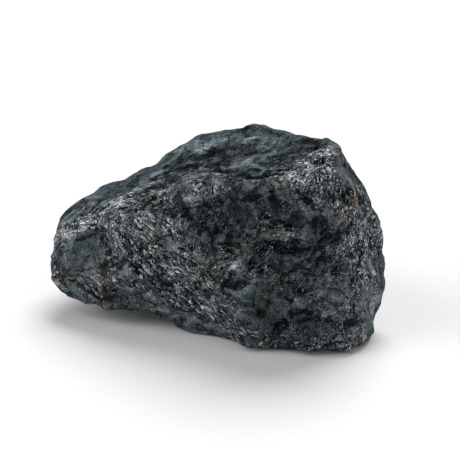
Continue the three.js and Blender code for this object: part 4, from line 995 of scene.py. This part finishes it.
    # painted light on the lit faces, painted shade on the shaded ones, pale spots with painted highlights, dark spots
    # with painted shade, and painted light on rises and ridges with painted shade in hollows
    tone = m("ADD", tone, m("MULTIPLY", light, 0.28))
    tone = m("SUBTRACT", tone, m("MULTIPLY", darker_and_shaded, 0.22))
    tone = m("ADD", tone, m("MULTIPLY", lit, 0.16))
    tone = m("SUBTRACT", tone, m("MULTIPLY", sunk_and_shaded, 0.27))
    tone = m("ADD", tone, m("MULTIPLY", near_relief_shading, 0.24))
    tone = m("ADD", tone, m("MULTIPLY", attr("crest_highlight"), 0.09))
    tone = m("ADD", tone, m("MULTIPLY", attr("far"), 0.10))
    tone = m("ADD", centred(m("ADD", tone, 0.10), 1.2), 0.40, clamp=True)

    ramp = node("ShaderNodeValToRGB")
    stops = (
        (0.0, (0.0040, 0.0052, 0.0058)), (0.22, (0.0190, 0.0252, 0.0272)), (0.45, (0.0570, 0.0725, 0.0775)),
        (0.68, (0.128, 0.154, 0.162)), (0.88, (0.230, 0.266, 0.277)), (1.0, (0.35, 0.385, 0.395)),
    )
    while len(ramp.color_ramp.elements) < len(stops):
        ramp.color_ramp.elements.new(0.5)
    for e, (x, c) in zip(ramp.color_ramp.elements, stops):
        e.position, e.color = x, (*c, 1)
    put(ramp.inputs[0], tone)
    colour = ramp.outputs[0]

    # the feldspars' tints: teal, violet and olive greys
    hue = split(noise(w, 0.33, 3, 0.6, out=1))
    cool = m("MULTIPLY_ADD", attr("violet"), 0.14, m("ADD", m("ADD", centred(slab_pick, 0.13), centred(lath_high, 0.07)), hue[0]))
    tint = mixc(step(cool, 0.42, 0.60), (0.92, 1.0, 0.99), (1.02, 0.98, 1.08))
    tint = mixc(m("MULTIPLY", step(m("MULTIPLY_ADD", attr("violet"), -0.12, m("ADD", centred(lath_pick, 0.12), hue[1])), 0.53, 0.66), 0.65), tint, (1.18, 1.01, 0.82))
    colour = mixc(1.0, colour, tint, "MULTIPLY")

    # the sheen of the top face is bluer
    colour = mixc(m("MULTIPLY", attr("bluish"), 1.0, clamp=True), colour, mixc(1.0, colour, (0.97, 1.0, 1.02), "MULTIPLY"))

    # warm alteration
    warm = m("MULTIPLY", sharp("brown", 0.40, 0.8, 0.15), step(noise(w, 0.9, 3, 0.6), 0.34, 0.52))
    colour = mixc(m("MULTIPLY", warm, 0.80), colour, mixc(tone, (0.012, 0.010, 0.008), (0.125, 0.104, 0.078)))
    rusty = m("MULTIPLY", sharp("rust", 0.40, 0.6, 0.15), step(noise(w, 1.1, 3, 0.6), 0.38, 0.50))
    colour = mixc(m("MULTIPLY", rusty, 0.8), colour, (0.22, 0.098, 0.040))

    # black mafic grains; painted shade in the pits, in the gaps between the flakes and along dark lines beside the
    # glint lines; and a few cracks over the smooth faces
    black = (0.0035, 0.0042, 0.0048)
    speck = m("MULTIPLY", step(noise(v, 0.8, 3.0, 0.6, 0.3), 0.37, 0.32), crumb)
    colour = mixc(m("MULTIPLY", speck, 0.68), colour, black)
    thin = m("MULTIPLY_ADD", crumb, 0.85, 0.15)
    open_seam = m("MULTIPLY", step(seam, 0.085, 0.035), step(where, 0.46, 0.54))
    shaded_pit = step(m("MULTIPLY_ADD", attr("slant"), -0.05, f[2]), 0.89, 0.92)
    shaded_groove = m("MAXIMUM", shaded_pit, m("MAXIMUM", lines(long_below, 0.50, 0.045), open_seam))
    shaded_groove = m("MULTIPLY", shaded_groove, m("MULTIPLY", thin, lively))
    colour = mixc(m("MULTIPLY", shaded_groove, 0.78), colour, black)
    split_open = m("MAXIMUM", m("MULTIPLY", step(crack, 0.026, 0.010), step(where, 0.45, 0.51)), m("MULTIPLY", step(joint, 0.052, 0.022), step(here, 0.54, 0.60)))
    colour = mixc(m("MULTIPLY", split_open, 0.8), colour, black)
    # pale lips along some joints beside the black splits: painted light
    rim = m("MULTIPLY", m("MULTIPLY", step(joint, 0.05, 0.08), step(joint, 0.15, 0.10)), step(here, 0.44, 0.38))
    colour = mixc(m("MULTIPLY", rim, 0.35), colour, (0.16, 0.18, 0.19))

    # open cracks painted black; on the top face they are painted shadow in the undercut slits
    cut = step(m("MULTIPLY_ADD", m("SUBTRACT", here, 0.5), 0.5, attr("cut")), 0.74, 0.86)
    colour = mixc(m("MULTIPLY", cut, 0.92), colour, black)

    # painted glints: pale glinting cleavage edges and lines, and glinting points in the pits
    glint = m("MAXIMUM", step(m("MULTIPLY_ADD", attr("slant"), -0.08, f[1]), 0.80, 0.84), m("MULTIPLY", lines(long_fine, 0.50, 0.035), step(k[1], 0.45, 0.55)))
    glint = m("MULTIPLY", m("MULTIPLY", glint, thin), m("MULTIPLY_ADD", glint_share, 0.85, 0.05), clamp=True)
    colour = mixc(m("MULTIPLY", glint, 0.95), colour, mixc(m("MULTIPLY_ADD", f[0], 0.6, centred(tone, 0.8)), (0.13, 0.15, 0.16), (0.96, 0.98, 1.0)))
    # pale veins, and painted highlights drawn as veins
    vein_and_highlight = step(m("MULTIPLY_ADD", m("SUBTRACT", noise(w, 0.8, 2, 0.5), 0.5), 0.7, attr("vein_and_highlight")), 0.76, 0.88)
    colour = mixc(m("MULTIPLY", vein_and_highlight, 0.75), colour, mixc(tone, (0.12, 0.13, 0.14), (0.60, 0.62, 0.64)))
    seeds = voronoi(w, 1.5)
    pick = split(seeds.outputs["Color"])
    point = m("MULTIPLY", step(seeds.outputs["Distance"], 0.34, 0.20), step(pick[0], 0.62, 0.70))
    point = m("MULTIPLY", point, m("MULTIPLY", crumb, m("MULTIPLY_ADD", sunk_and_shaded, 0.35, m("MULTIPLY", glint_share, 0.55))), clamp=True)
    colour = mixc(point, colour, mixc(pick[1], (0.34, 0.36, 0.37), (1.0, 1.0, 1.0)))

    rough = m("MULTIPLY_ADD", lath_pick, 0.22, 0.44)
    rough = m("SUBTRACT", rough, m("MULTIPLY", glint, 0.10))
    height = m("MULTIPLY", m("ADD", m("MULTIPLY", f[1], 0.35), m("MULTIPLY", step(seam, 0.0, 0.22), 0.8)), crumb)
    height = m("ADD", height, m("MULTIPLY", coarse, 0.6))
    height = m("ADD", height, m("MULTIPLY", f[0], m("MULTIPLY", crumb, 0.4)))
    height = m("ADD", height, m("MULTIPLY", k[1], m("MULTIPLY_ADD", crumb, 0.45, 0.15)))
    height = m("ADD", height, m("MULTIPLY", lath_high, 0.55))
    height = m("ADD", height, m("MULTIPLY", slab_high, 0.55))
    height = m("SUBTRACT", height, m("MULTIPLY", split_open, 0.3))
    height = m("SUBTRACT", height, m("MULTIPLY", speck, 0.5))
    bump = node("ShaderNodeBump")
    put(bump.inputs["Strength"], 1.0)
    put(bump.inputs["Distance"], 0.0007)
    put(bump.inputs["Height"], height)

    shader = node("ShaderNodeBsdfPrincipled")
    put(shader.inputs["Base Color"], colour)
    put(shader.inputs["Roughness"], rough)
    put(shader.inputs["Specular IOR Level"], 0.012)
    put(shader.inputs["Normal"], bump.outputs[0])
    out = node("ShaderNodeOutputMaterial")
    nt.links.new(shader.outputs[0], out.inputs["Surface"])
    return mat


mesh.materials.append(make_material())
stone.name = "larvikite_surface"
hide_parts("stone")
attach(stone, "root")


# ------------------------------------------------------------------ floor, light and camera
def floor_disc(radius):
    bm = bmesh.new()
    bmesh.ops.create_circle(bm, cap_ends=True, segments=96, radius=radius)
    data = bpy.data.meshes.new("floor")
    bm.to_mesh(data)
    bm.free()
    obj = bpy.data.objects.new("floor", data)
    bpy.context.scene.collection.objects.link(obj)
    mat = bpy.data.materials.new("floor_white")
    mat.use_nodes = True
    b = mat.node_tree.nodes["Principled BSDF"]
    b.inputs["Base Color"].default_value = (0.68, 0.68, 0.68, 1)
    b.inputs["Roughness"].default_value = 1.0
    b.inputs["Specular IOR Level"].default_value = 0.0
    data.materials.append(mat)
    return obj


floor = floor_disc(4.0)


def soft_sun(name, where, strength, spread):
    """Even light from one side, as a wide studio panel gives."""
    data = bpy.data.lights.new(name, "SUN")
    data.energy, data.angle = strength, math.radians(spread)
    obj = bpy.data.objects.new(name, data)
    bpy.context.scene.collection.objects.link(obj)
    obj.location = where
    obj.rotation_euler = Vector(where).to_track_quat("Z", "Y").to_euler()
    return obj


soft_sun("light_above_behind", (-0.08, 0.64, 0.80), 3.70, 44)
soft_sun("light_upper_left", (-0.80, -0.58, 0.72), 1.55, 45)
soft_sun("light_right", (0.95, -0.15, 0.60), 0.50, 45)

world = bpy.data.worlds.new("studio")
world.use_nodes = True
nodes, links = world.node_tree.nodes, world.node_tree.links
towards = nodes.new("ShaderNodeTexCoord")
split = nodes.new("ShaderNodeSeparateXYZ")
fade = nodes.new("ShaderNodeMapRange")
fade.interpolation_type = "SMOOTHSTEP"
links.new(towards.outputs["Generated"], split.inputs[0])
links.new(split.outputs["Z"], fade.inputs["Value"])
for socket, value in (("From Min", 0.12), ("From Max", 0.40), ("To Min", 0.92), ("To Max", 0.25)):
    fade.inputs[socket].default_value = value
nodes["Background"].inputs[0].default_value = (1, 1, 1, 1)
links.new(fade.outputs[0], nodes["Background"].inputs[1])
scene = bpy.context.scene
scene.world = world
scene.view_settings.view_transform = "Standard"
scene.view_settings.look = "None"

EYE = Vector((0.19684462, -0.43760065, 0.19950093))
AIM = Vector((0.00841636, -0.01438385, 0.030885))
lens = bpy.data.cameras.new("camera")
lens.lens, lens.sensor_width = 133.0435, 36.0
lens.clip_start, lens.clip_end = 0.01, 20.0
camera = bpy.data.objects.new("camera", lens)
scene.collection.objects.link(camera)
camera.location = EYE
camera.rotation_euler = (AIM - EYE).to_track_quat("-Z", "Y").to_euler()
scene.camera = camera
